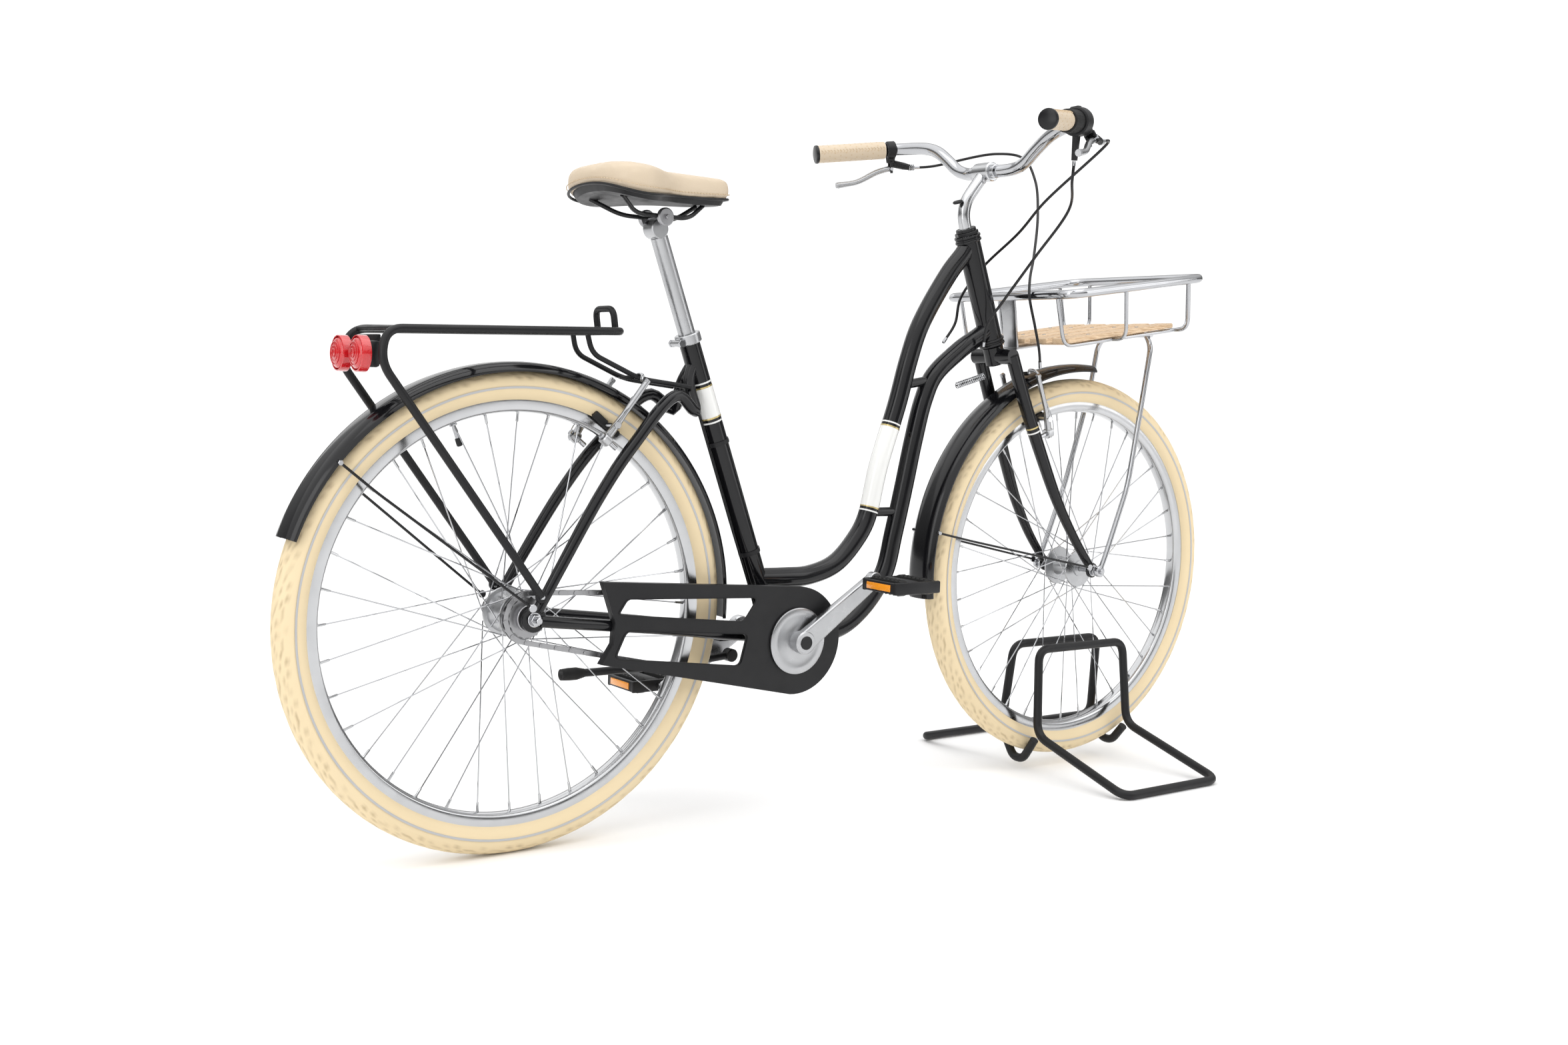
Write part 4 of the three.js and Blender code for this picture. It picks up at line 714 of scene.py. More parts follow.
for word, axle, size in (("front", FRONT, (31, 26, 36, 17, 15)), ("rear", REAR, (33, 27, 37, 30, 20))):
    rim = paint(turned(f"{word}_rim_ring", RIM, 180, axle), "polished_alloy")
    mount(rim, f"{word}_wheel", "satin_alloy", f"{word}_rim", crease=40)
    mount(laced(f"{word}_lacing", axle, size[1], size[2]), f"{word}_wheel", "bright_steel", f"{word}_spokes")
    mount(hub(f"{word}_hub_shell", axle, *size), f"{word}_wheel", "satin_alloy", f"{word}_hub")
valve_place = REAR + Vector((math.cos(math.radians(110)), 0, math.sin(math.radians(110)))) * 0.2965
valve_axis = (REAR - valve_place).normalized()
valve = joined("rear_valve", [
    paint(rounded_bar("stem", -2, 22, 3, valve_place, valve_axis, 20, 0.3), "plated_steel"),
    paint(rounded_bar("nut", 0, 3, 6, valve_place, valve_axis, 6, 0.4), "plated_steel"),
    paint(rounded_bar("cap", 22, 34, 4.2, valve_place, valve_axis, 20, 1), "black_plastic"),
])
mount(valve, "rear_wheel", "bright_steel")
print("wheels laced")

# %% [markdown]
# The frame is brazed from round steel tubes, so each tube is one sweep along its centre line. The two
# curved down tubes flow from the head tube to the bottom bracket. Painted panels lie on the tubes as
# close-fitting sleeves: white with a gold and a white line beyond each end.

# %% Frame tubes
TOP_LINE = [on_steering(0, 0, 188)] + [on_frame(a, h) for a, h in (
    (0.832, 1.316), (0.767, 1.247), (0.632, 1.052), (0.584, 0.932), (0.539, 0.781), (0.459, 0.555),
        (0.413, 0.378),
    (0.369, 0.31), (0.276, 0.227), (0.152, 0.191), (0.063, 0.189), (-0.06, 0.191))]
DOWN_LINE = [on_steering(0, 0, 52)] + [on_frame(a, h) for a, h in (
    (0.969, 1.06), (0.836, 0.976), (0.708, 0.877), (0.664, 0.793), (0.624, 0.652), (0.586, 0.487), (0.546,
        0.324),
    (0.506, 0.183), (0.402, 0.06), (0.282, -0.002), (0, 0))]
TOP_RADIUS, DOWN_RADIUS = 16.5, 16.5
top_way = smooth_path(TOP_LINE, 90)
down_way = smooth_path(DOWN_LINE, 90)
mount(
    paint(
        tube(
            "top_tube_sweep",
            top_way,
            TOP_RADIUS,
            28),
            "black_enamel"),
            "frame",
            "black_paint",
             "top_tube")
down_parts = [paint(tube("down", down_way, DOWN_RADIUS, 28), "black_enamel")]
for a, b in (((0.55, 0.84), (0.67, 0.86)), ((0.4, 0.4), (0.56, 0.4))):
    down_parts.append(paint(tube("bridge", [on_frame(*a), on_frame(*b)], 8, 20), "black_enamel"))
mount(joined("down_tube_sweep", down_parts), "frame", "black_paint", "down_tube")


def share_at_height(way, z):
    """How far along a line, as a share of it, a height in millimetres is first passed."""
    for i, (a, b) in enumerate(zip(way, way[1:])):
        if (a.z - z / 1000) * (b.z - z / 1000) <= 0:
            return (i + (a.z - z / 1000) / (a.z - b.z)) / (len(way) - 1)
    return 0.5


def sleeve(name, way, start, end, radius, finish_name, sides=28):
    """A painted band that lies on a tube between two shares of its line."""
    return paint(tube(name, resample(way, max(3, int(60 * (end - start))),
                 start, end), radius, sides), finish_name)


def banded(name, way, high, low, radius, body="frame"):
    """A white panel with a gold and a white line beyond each end, between two heights in millimetres."""
    top, bottom = sorted((share_at_height(way, high), share_at_height(way, low)))
    length = sum((b - a).length for a, b in zip(way, way[1:])) * 1000
    line, space = 1.6 / length, 7 / length
    bands = [sleeve("panel", way, top, bottom, radius + 0.35, "white_paint")]
    for edge, turn in ((top, -1), (bottom, 1)):
        for step, colour in ((0, "gold_paint"), (1, "white_paint")):
            a = edge + turn * step * space
            b = a + turn * line * 1.6
            bands.append(sleeve("line", way, min(a, b), max(a, b), radius + 0.5, colour))
    return mount(joined(name, bands), body, "black_paint")


banded("top_tube_panel", top_way, 640, 505, TOP_RADIUS)
seat_way = [on_seat_tube(0, 0, 0), on_seat_tube(0, 0, 518)]
seat_way = resample(seat_way, 40)
seat_parts = [paint(tube("seat_post_tube", seat_way, 16.5, 28), "black_enamel")]
seat_parts.append(paint(rounded_bar("shell", -36, 36, 21, BRACKET, (0, 1, 0), 48, 1.5), "black_enamel"))
mount(joined("seat_tube_sweep", seat_parts), "frame", "black_paint", "seat_tube")
banded("seat_tube_panel", seat_way, 700, 655, 16.5)
head_way = [on_steering(0, 0, 0), on_steering(0, 0, 203)]
head_parts = [paint(tube("head", head_way, 20.5, 32), "black_enamel")]
for low in (0, 191):
    for step, radius in ((0, 23.5), (4, 22.2), (8, 23.5)):
        cup = rounded_bar("cup", low + step, low + step + 4, radius, on_steering(0, 0, 0), STEER_UP, 48, 0.7)
        head_parts.append(paint(cup, "gloss_plastic"))
mount(joined("head_tube_turned", head_parts), "frame", "black_paint", "head_tube")
print("frame tubes", len(top_way), len(down_way))

# %% [markdown]
# The rear triangle is two pairs of thinner tubes. The seatstays leave the seat tube, bow out round the
# tyre and end in round dropout plates, which the axle nuts clamp.

# %% Stays and rear axle
stays = []
for side in (-1, 1):
    path = smooth_path([on_seat_tube(0, 0, 478), on_seat_tube(-27, 10 * side, 450), on_seat_tube(-44,
        32 * side, 410),
                        at(250, 40 * side, 686.5), at(165, 52 * side, 608.5), at(110, 58 * side, 538.5),
                        at(43, 63 * side, 432.5), at(6, 64 * side, 370.5)], 60)
    stays.append(paint(tube("seatstay", path, 9.5, 22, radii=[1, 1, 1, 0.95, 0.85]), "black_enamel"))
    plate = side_plate("dropout", ring_points(REAR, 19, 48), 64 * side - 2.5, 64 * side + 2.5, 0.7)
    stays.append(paint(plate, "black_enamel"))
    stud_out = Vector((-0.787, 0, 0.617))
    stud = Vector((-0.4655, side * 0.047, 0.6185))
    stays.append(
    paint(
        tube(
            "stud", [
                stud - stud_out * 0.022, stud + stud_out * 0.011], 4, 16), "plated_steel"))
mount(joined("seatstay_pair", stays), "frame", "black_paint", "seatstays")
for side, word in ((1, "left"), (-1, "right")):
    path = smooth_path([BRACKET + Vector(v) / 1000 for v in ((-8, 25 * side, 1), (-62, 30 * side, 6),
        (-118, 37.5 * side, 13),
                       (-215, 48 * side, 28))] + [at(120, 56 * side, 341.5), at(40, 63 * side, 351.5),
                           at(10, 64 * side, 355.5)], 50)
    parts = [paint(tube("chainstay", path, 9, 22), "black_enamel")]
    if side > 0:
        parts.append(paint(soft_box("plate", (54, 34, 8), at(420, 48, 288.5), 1.5), "black_enamel"))
    mount(joined(f"chainstay_{word}_sweep", parts), "frame", "black_paint", f"chainstay_{word}")


def nuts(name, axle, reach, nut):
    """An axle with a washer, a six-sided nut and a domed end on both sides."""
    bits = [paint(rounded_bar("spindle", -reach, reach, 5, axle, (0, 1, 0), 24, 1.2), "plated_steel")]
    for side in (-1, 1):
        for low, high, radius, faces in ((nut, nut + 1.6, 11, 32), (nut + 1.6, nut + 8, 9, 6)):
            low, high = sorted((side * low, side * high))
            bits.append(
    paint(
        rounded_bar(
            "nut",
            low,
            high,
            radius,
            axle,
            (0,
            1,
            0),
            faces,
            0.6),
             "plated_steel"))
    return joined(name, bits)


mount(nuts("rear_axle_nuts", REAR, 84, 67), "frame", "bright_steel", "rear_axle")
mount(nuts("front_axle_nuts", FRONT, 88, 62.9), "fork", "bright_steel", "front_axle")
print("stays done")

# %% [markdown]
# The fork's two blades flow from the crown down and forward to the axle. A short tube crosses as the
# crown, and the steerer runs up through the head tube to a threaded nut.

# %% Fork
fork_parts = []
for side in (-1, 1):
    blade = smooth_path([on_steering(*
    v) for v in ((3, 42 *
    side, -
    22), (6, 44 *
    side, -
    110), (12, 49 *
    side, -
    210), (21, 55 *
    side, -
    310), (37, 59 *
    side, -
    385), (54, 60 *
    side, -
    438), (61.4, 60 *
    side, -
    457.5))], 60)
    fork_parts.append(
    paint(
        tube(
            "blade",
            blade,
            11,
            24,
            radii=[
                1.1,
                1.1,
                1.05,
                0.95,
                0.8,
                0.7]),
                 "black_enamel"))
    tip = rounded_bar("tip", -2.5, 2.5, 14, FRONT + Vector((0, side * 0.06, 0)), (0, 1, 0), 40, 0.6)
    fork_parts.append(paint(tip, "black_enamel"))
    stud = [on_steering(12, side * 42, -186), on_steering(57.7, side * 42, -186)]
    fork_parts.append(paint(tube("stud", stud, 4, 16), "plated_steel"))
    for up, colour in ((0.31, "gold_paint"), (0.33, "white_paint")):
        radius = 11 * 1.07 + 0.5
        fork_parts.append(sleeve("band", blade, up, up + 0.006, radius, colour))
crown = [on_steering(0, -48, -22), on_steering(0, 48, -22)]
fork_parts.append(paint(tube("crown", crown, 14, 28), "black_enamel"))
fork_parts.append(paint(rounded_bar("race", -36, -1, 19,
                  on_steering(0, 0, 0), STEER_UP, 40, 2), "black_enamel"))
fork_parts.append(paint(rounded_bar("steerer", -1, 216, 14,
                  on_steering(0, 0, 0), STEER_UP, 32, 0.5), "plated_steel"))
fork_parts.append(
    paint(
        rounded_bar(
            "locknut",
            204,
            210,
            21,
            on_steering(
                0,
                0,
                0),
                STEER_UP,
                8,
                0.8),
                 "gloss_plastic"))
fork_parts.append(
    paint(
        rounded_bar(
            "topnut",
            210,
            216,
            18,
            on_steering(
                0,
                0,
                0),
                STEER_UP,
                32,
                1),
                 "gloss_plastic"))
mount(joined("fork_sweep", fork_parts), "fork", "black_paint", "fork")
print("fork done")

# %% [markdown]
# The saddle is a padded cushion, so it is puffed up by the cloth simulation. A block is cut to the saddle's
# outline, its skin is made even, and a little air pressure rounds it between its sewn rim. A black shell
# sits under it, and a row of stitches follows the seam.

# %% Saddle
POST_HEAD = on_seat_tube(0, 0, 688)
SADDLE_REAR = (POST_HEAD.x + WHEEL_TO_MIDDLE) * 1000 - 125
SADDLE_LONG, SADDLE_HALF = 252, 95
PUFF_LIMIT = 0.005
SADDLE_TOP = POST_HEAD.z * 1000 + 89
COVER_LOW = SADDLE_TOP - 34


def cubic(p0, p1, p2, p3, t):
    """A place on one arc of a drawn outline."""
    s = 1 - t
    return tuple(a * s**3 + 3 * b * s * s * t + 3 * c * s * t * \
                 t + d * t**3 for a, b, c, d in zip(p0, p1, p2, p3))


def saddle_outline(shrink, steps=16):
    """Half of the saddle's outline, from the back to the nose, as (x, y) in millimetres."""
    wide, back, nose = SADDLE_HALF - shrink, SADDLE_REAR + shrink, SADDLE_REAR + SADDLE_LONG - shrink
    waist, tip = SADDLE_REAR + SADDLE_LONG / 2, 22 - shrink * 0.3
    arcs = [((back, 0), (back, wide * 0.5), (back, wide), (back + wide * 0.5, wide)),
            ((back + wide * 0.5, wide), (waist - 40, wide), (waist - 15, tip + 14), (waist + 30, tip + 10)),
            ((waist + 30, tip + 10), (nose - 30, tip + 4), (nose, tip), (nose, 0))]
    half = [cubic(*arc, k / steps) for arc in arcs for k in range(steps)] + [(nose, 0)]
    return half


def saddle_loop(shrink, steps=16):
    """The whole outline, round the left side and back along the right."""
    half = saddle_outline(shrink, steps)
    return half + [(x, -y) for x, y in reversed(half[1:-1])]


def saddle_drop(x, y, below):
    """How far the saddle's dip and its hanging flaps lower a place."""
    forward = (x - SADDLE_REAR) / SADDLE_LONG
    return 24 * forward * (1 - forward) + 13 * (abs(y) / SADDLE_HALF) ** 2 * min(max(below, 0), 1)


def saddle_block(name, layers, steps=16):
    """A closed body from stacked outlines, each (shrink, height in millimetres)."""
    clear_selection()
    loop = len(saddle_loop(0, steps))
    bpy.ops.mesh.primitive_cylinder_add(vertices=loop, radius=1, depth=1, end_fill_type="NGON")
    piece = bpy.context.object
    piece.name = name
    bpy.ops.object.mode_set(mode="EDIT")
    bpy.ops.mesh.select_all(action="SELECT")
    bpy.ops.mesh.delete(type="VERT")
    bpy.ops.object.mode_set(mode="OBJECT")
    places, faces = [], []
    for shrink, height in layers:
        for x, y in saddle_loop(shrink, steps):
            drop = saddle_drop(x, y, (SADDLE_TOP - height) / 34)
            places.append(at(x, y, height - drop))
    for level in range(len(layers) - 1):
        for i in range(loop):
            a, b = level * loop + i, level * loop + (i + 1) % loop
            faces.append((a, b, b + loop, a + loop))
    faces.append(tuple(reversed(range(loop))))
    faces.append(tuple(range((len(layers) - 1) * loop, len(layers) * loop)))
    piece.data.from_pydata(places, [], faces)
    bpy.ops.object.mode_set(mode="EDIT")
    bpy.ops.mesh.select_all(action="SELECT")
    bpy.ops.mesh.normals_make_consistent(inside=False)
    bpy.ops.object.mode_set(mode="OBJECT")
    return piece


cover = saddle_block("saddle_cushion", [(11, COVER_LOW +
    0.5), (3, COVER_LOW +
    3), (0.5, COVER_LOW +
    9), (0.5, COVER_LOW +
    20), (3, COVER_LOW +
    27), (9, SADDLE_TOP -
    2.5), (16, SADDLE_TOP -
     0.8)])
skin = cover.modifiers.new("even skin", "REMESH")
skin.mode = "VOXEL"
skin.voxel_size = 0.005
bpy.ops.object.modifier_apply(modifier=skin.name)
held = cover.vertex_groups.new(name="held")
low = [v.index for v in cover.data.vertices if v.co.z < (COVER_LOW + 8) / 1000 - saddle_drop(
    (v.co.x + WHEEL_TO_MIDDLE) * 1000, v.co.y * 1000, 1) / 1000]
held.add(low, 1.0, "REPLACE")
before = [v.co.copy() for v in cover.data.vertices]
cloth = cover.modifiers.new("padding", "CLOTH")
cloth.settings.use_pressure = True
cloth.settings.uniform_pressure_force = 4
cloth.settings.effector_weights.gravity = 0
cloth.settings.vertex_group_mass = "held"
for number in range(1, 21):
    bpy.context.scene.frame_set(number)
bpy.ops.object.modifier_apply(modifier=cloth.name)
bpy.context.scene.frame_set(1)
for vertex, old in zip(cover.data.vertices, before):
    moved = vertex.co - old
    if moved.length > PUFF_LIMIT:
        vertex.co = old + moved.normalized() * PUFF_LIMIT
smooth = cover.modifiers.new("finer", "SUBSURF")
smooth.levels = 1
bpy.ops.object.modifier_apply(modifier=smooth.name)
paint(cover, "beige_leather")
mount(cover, "seat", "beige_leather", "saddle_cover", crease=60)

shell = saddle_block("saddle_shell", [(20, COVER_LOW - 9), (13, COVER_LOW - 8),
                     (9, COVER_LOW - 2), (7, COVER_LOW + 1.5), (12, COVER_LOW + 2)])
mount(paint(shell, "black_plastic"), "seat", "black_plastic", "saddle_base")
trim = []
seam = [at(x, y, COVER_LOW + 1.2 - saddle_drop(x, y, 1)) for x, y in saddle_loop(1.5, 24)]
trim.append(paint(tube("edge_piping", seam, 2.2, 12, closed=True), "black_plastic"))
stitch_line = [at(x, y, COVER_LOW + 8.5 - saddle_drop(x, y, 0.75)) for x, y in saddle_loop(-1.4, 24)]
stitch_line = resample(stitch_line + [stitch_line[0]], 120)
for i in range(0, 120, 1):
    start, end = stitch_line[i], stitch_line[i + 1]
    trim.append(paint(tube("stitch", [start, start.lerp(end, 0.62)], 0.7, 6), "stitch_thread"))
mount(joined("saddle_trim", trim), "seat", "beige_leather")
print("saddle done")

# %% [markdown]
# Under the saddle, two bent rails run from the back of the shell to its nose and pass through a clamp on
# top of the bright seat post. A collar with a bolt holds the post in the seat tube.

# %% Seat post and rails
RAIL_HEIGHT = POST_HEAD.z * 1000 + 18
rail_parts = []
for side in (-1, 1):
    rail = bent_path([at(SADDLE_REAR +
    34, 48 *
    side, COVER_LOW -
    15), at(SADDLE_REAR +
    74, 22 *
    side, RAIL_HEIGHT), at(SADDLE_REAR +
    168, 22 *
    side, RAIL_HEIGHT), at(SADDLE_REAR +
    202, 9 *
    side, COVER_LOW -
     13)], 18, 8)
    rail_parts.append(paint(tube("rail", rail, 3.5, 14), "gloss_plastic"))
    cheek = rounded_bar("cheek", -4, 4, 14, at(SADDLE_REAR + 123,
                        27 * side, RAIL_HEIGHT - 1), (0, 1, 0), 28, 2)
    rail_parts.append(paint(cheek, "grey_steel"))
clamp_bolt = rounded_bar("bolt", -36, 36, 4, at(SADDLE_REAR + 123, 0, RAIL_HEIGHT - 1), (0, 1, 0), 6, 0.8)
rail_parts.append(paint(clamp_bolt, "grey_steel"))
mount(joined("saddle_rail_set", rail_parts), "seat", "black_plastic", "saddle_rails")
post_parts = [paint(rounded_bar("post", 328, 676, 13.5, SEAT_FOOT, STEER_UP, 40, 1), "satin_alloy")]
post_parts.append(
    paint(
        tube(
            "neck", [
                on_seat_tube(
                    0, 0, 660), POST_HEAD], 13.4, 32, radii=[
                        1, 0.8]), "satin_alloy"))
post_parts.append(paint(rounded_bar("head", -14, 14, 15, POST_HEAD + \
                  Vector((-0.002, 0, 0)), (0, 1, 0), 40, 1.5), "satin_alloy"))
mount(joined("seat_post_turned", post_parts), "seat", "satin_alloy", "seat_post")
collar = [(16.8, 505), (19.5, 505), (20.5, 506.5), (20.5, 519.5),
           (19.5, 521), (14, 521), (14, 518.8), (16.8, 518.8)]
clamp_parts = [paint(turned("collar", collar, 48, SEAT_FOOT, STEER_UP), "satin_alloy")]
clamp_parts.append(
    paint(rounded_bar("bolt", -14, 14, 5, on_seat_tube(-22, 0, 512), (0, 1, 0), 24, 0.8), "satin_alloy"))
for side in (-1, 1):
    nut = rounded_bar("nut", 14 * side - 2, 14 * side + 2, 6.5, on_seat_tube(-22, 0, 512), (0, 1, 0), 6, 0.6)
    clamp_parts.append(paint(nut, "plated_steel"))
mount(joined("seat_clamp_collar", clamp_parts), "frame", "satin_alloy", "seat_clamp")
print("seat post done")

# %% [markdown]
# The bar and stem are polished tubes. The stem rises from the steerer and bends forward to a clamp, and
# the swept bar rises and curls back to a pair of stitched leather grips with a pattern of small holes.

# %% Handlebar and stem
CLAMP = on_steering(75, 0, 296)


def on_grip(side, along):
    """A place on a grip's axis, measured from its open end towards the middle of the bar."""
    inward = Vector((0.9087, -0.398 * side, 0.126)).normalized()
    return CLAMP + Vector((-149, 296 * side, 42)) / 1000 + inward * (along / 1000)


def half_bar(side):
    """The bar's centre line on one side, from the clamp to the grip's end."""
    rise = [CLAMP + Vector((x, y * side, z)) / 1000 for x, y, z in ((0, 0, 0),
                           (14, 58, 3), (13, 84, 11), (12, 112, 31), (12, 140, 49), (9, 168, 58))]
    return rise + [on_grip(side, 150), on_grip(side, 110), on_grip(side, 0)]


bar_line = smooth_path(list(reversed(half_bar(-1))) + half_bar(1)[1:], 150)
BAR_RADIUS = 11
bar_parts = [paint(tube("bar", bar_line, BAR_RADIUS, 28), "plated_steel")]
bar_parts.append(paint(rounded_bar("bulge", -30, 30, 12.2, CLAMP, (0, 1, 0), 40, 1), "plated_steel"))
mount(joined("swept_bar", bar_parts), "fork", "bright_steel", "handlebar")
stem_line = bent_path([on_steering(0, 0, 110), on_steering(0, 0, 253), CLAMP], 34, 12)
stem_parts = [paint(tube("quill", stem_line, 11, 28), "polished_alloy")]
stem_parts.append(paint(rounded_bar("clamp", -20, 20, 17, CLAMP, (0, 1, 0), 48, 2), "polished_alloy"))
stem_parts.append(paint(rounded_bar("bolt", -13, 13, 4, CLAMP - \
                  Vector((0.012, 0, 0.018)), (0, 1, 0), 6, 0.5), "grey_steel"))
stem_parts.append(paint(rounded_bar("cap", 0, 5, 9, on_steering(-4, 0, 262),
                  STEER_UP, 24, 1.5), "black_plastic"))
mount(joined("stem_quill", stem_parts), "fork", "satin_alloy", "stem")


def ring_of(centre, axis, radius, number, count, turn=0.0):
    """A place on a circle about an axis, used to set out holes and stitches."""
    angle = 2 * math.pi * number / count + turn
    spot = Vector((math.cos(angle), math.sin(angle), 0)) * (radius / 1000)
    return centre + aim(axis).to_3x3() @ spot


for side, word, long in ((1, "left", 130), (-1, "right", 78)):
    axis = (on_grip(side, 10) - on_grip(side, 0)).normalized()
    place = on_grip(side, 0)
    outline = [(0, -6), (13, -6), (16.5, -5), (17, -3), (17, -1), (16.2, 0.5), (16, 3),
                (16, long - 3), (15.4, long - 0.6), (11.3, long), (11.3, 0), (0, 0)]
    bits = [paint(turned("leather", outline[5:10] + [(11.3, long - 2),
                  (11.3, 2)], 48, place, axis), "beige_leather")]
    bits.append(paint(turned("plug", [(0, -6), (13, -6), (16.5, -5), (17, -3), (17, -1),
                (16.2, 0.4), (11.6, 0.4), (0, 0.4)], 40, place, axis), "gloss_plastic"))
    for row in range(int(long / 11)):
        for number in range(10):
            centre = ring_of(place + axis * (0.009 + row * 0.0105), axis,
                             15.85, number, 10, (row % 2) * math.pi / 10)
            out = (centre - (place + axis * (centre - place).dot(axis))).normalized()
            bits.append(paint(rounded_bar("hole", 0, 0.35, 1.5, centre, out, 10, 0.1), "stitch_thread"))
    seam_side = ring_of(place, axis, 16.1, 1, 4, 2.6)
    for number in range(int(long / 6)):
        start = seam_side + axis * (0.004 + number * 0.006)
        across = axis.cross(start - place).normalized()
        bits.append(
    paint(
        tube(
            "stitch", [
                start - across * 0.003, start + axis * 0.003, start + across * 0.003], 0.6, 6),
                    "stitch_thread"))
    mount(joined(f"grip_{word}_leather", bits), "fork", "beige_leather", f"grip_{word}")
print("bar and grips done")

# %% [markdown]
# A fender is a thin strip of sheet with rolled edges, so its cross-section is drawn once and spun through
# the arc it covers. Wire stays run from the axle to its edge and a small bolt holds each.

# %% Fenders
def fender(name, axle, crown, start, sweep):
    """A rolled strip above a wheel: its section spun about the axle from a start angle, in degrees."""
    outer = [(-30, -13.5), (-30.6, -11), (-27, -5.5), (-18, -0.8), (-9, 0.4),
              (0, 0.9), (9, 0.4), (18, -0.8), (27, -5.5), (30.6, -11), (30, -13.5)]
    inner = [(28.4, -13.2), (29, -11.4), (26, -7.4), (17.4, -2.8), (9, -1.6), (0, -1.1),
              (-9, -1.6), (-17.4, -2.8), (-26, -7.4), (-29, -11.4), (-28.4, -13.2)]
    clear_selection()
    section = outer + inner
    bpy.ops.mesh.primitive_circle_add(vertices=len(section), fill_type="NGON")
    piece = bpy.context.object
    piece.name = name
    turn = math.radians(start)
    for vertex, (across, out) in zip(piece.data.vertices, section):
        reach = (crown + out) / 1000
        vertex.co = axle + Vector((math.cos(turn) * reach, across / 1000, math.sin(turn) * reach))
    bpy.ops.object.mode_set(mode="EDIT")
    bpy.ops.mesh.select_all(action="SELECT")
    steps = max(24, int(sweep))
    bpy.ops.mesh.spin(steps=steps, angle=math.radians(sweep), center=axle, axis=(0, 1, 0))
    bpy.ops.mesh.select_all(action="SELECT")
    bpy.ops.mesh.normals_make_consistent(inside=False)
    bpy.ops.object.mode_set(mode="OBJECT")
    return paint(piece, "black_enamel")


def round_axle(axle, radius, degrees, y):
    """A place at a radius and an angle about an axle, in millimetres and degrees."""
    turn = math.radians(degrees)
    return axle + Vector((math.cos(turn) * radius, y, math.sin(turn) * radius)) / 1000


def stay_wires(axle, crown, degrees, y_foot, foot_turn):
    """A pair of wires from beside the axle up to a fender's edge, with an eyelet at each foot."""
    bits = []
    for side in (-1, 1):
        path = bent_path([round_axle(axle, 22, foot_turn, y_foot * side), round_axle(axle,
                         294, degrees, 36 * side), round_axle(axle, crown - 6, degrees, 32 * side)], 12)
        bits.append(paint(tube("stay", path, 2, 12), "gloss_plastic"))
        eye = rounded_bar("eyelet", -2, 2, 6, round_axle(axle, 22,
                          foot_turn, y_foot * side), (0, 1, 0), 24, 0.6)
        bits.append(paint(eye, "plated_steel"))
        bolt = rounded_bar("bolt", -3, 3, 4, round_axle(axle, crown - \
                           12, degrees, 32.5 * side), (0, 1, 0), 6, 0.6)
        bits.append(paint(bolt, "plated_steel"))
    return bits


FRONT_CROWN, REAR_CROWN = 385.5, 369.5
front_cover = [fender("front_guard", FRONT, FRONT_CROWN, 87, 99)] + \
                      stay_wires(FRONT, FRONT_CROWN, 168, 74, 160)
mount(joined("front_guard", front_cover), "fork", "black_paint", "front_fender")
rear_cover = [fender("rear_guard", REAR, REAR_CROWN, -4, 164.5)] + stay_wires(REAR, REAR_CROWN, 141, 82, 120)
mount(joined("rear_guard", rear_cover), "frame", "black_paint", "rear_fender")
print("fenders done")

# %% [markdown]
# Beech shows fine straight grain along each slat and warm and pale streaks between them. The noise is
# stretched along the board, and a colour ramp turns it into dark and pale lines.

# %% Beech wood
beech = finish("beech", (0.78, 0.58, 0.38), (0.70, 0.49, 0.30),
               (0.38, 0.52), grain=(900, 0), bump=0.15, patch=30)
wood_tree = beech.node_tree
wood_coords = wood_tree.nodes.new("ShaderNodeTexCoord")
wood_stretch = wood_tree.nodes.new("ShaderNodeMapping")
wood_stretch.inputs["Scale"].default_value = (9, 210, 210)
wood_lines = wood_tree.nodes.new("ShaderNodeTexNoise")
wood_lines.inputs["Detail"].default_value = 7
wood_ramp = wood_tree.nodes.new("ShaderNodeValToRGB")
wood_ramp.color_ramp.elements[0].position = 0.36
wood_ramp.color_ramp.elements[0].color = (0.46, 0.28, 0.14, 1)
wood_ramp.color_ramp.elements[1].position = 0.6
wood_ramp.color_ramp.elements[1].color = (0.80, 0.61, 0.41, 1)
wood_tree.links.new(wood_coords.outputs["Object"], wood_stretch.inputs["Vector"])
wood_tree.links.new(wood_stretch.outputs["Vector"], wood_lines.inputs["Vector"])
wood_tree.links.new(wood_lines.outputs["Fac"], wood_ramp.inputs["Fac"])
wood_tree.links.new(wood_ramp.outputs["Color"], wood_tree.nodes["Principled BSDF"].inputs["Base Color"])

# %% [markdown]
# The basket is bent steel rod with a floor of five planed beech slats on two battens. Everything is laid
# out in the basket's own frame, which tips up a little toward the front.

# %% Basket
BASKET_TILT = math.radians(8.5)
BASKET_PLACE = Vector((0.39212, 0, 0.88247))


def in_basket(x, y, z):
    """A place measured from the middle of the basket's rear rail, in millimetres."""
    c, s = math.cos(BASKET_TILT), math.sin(BASKET_TILT)
    return BASKET_PLACE + Vector((x * c - z * s, y, x * s + z * c)) / 1000


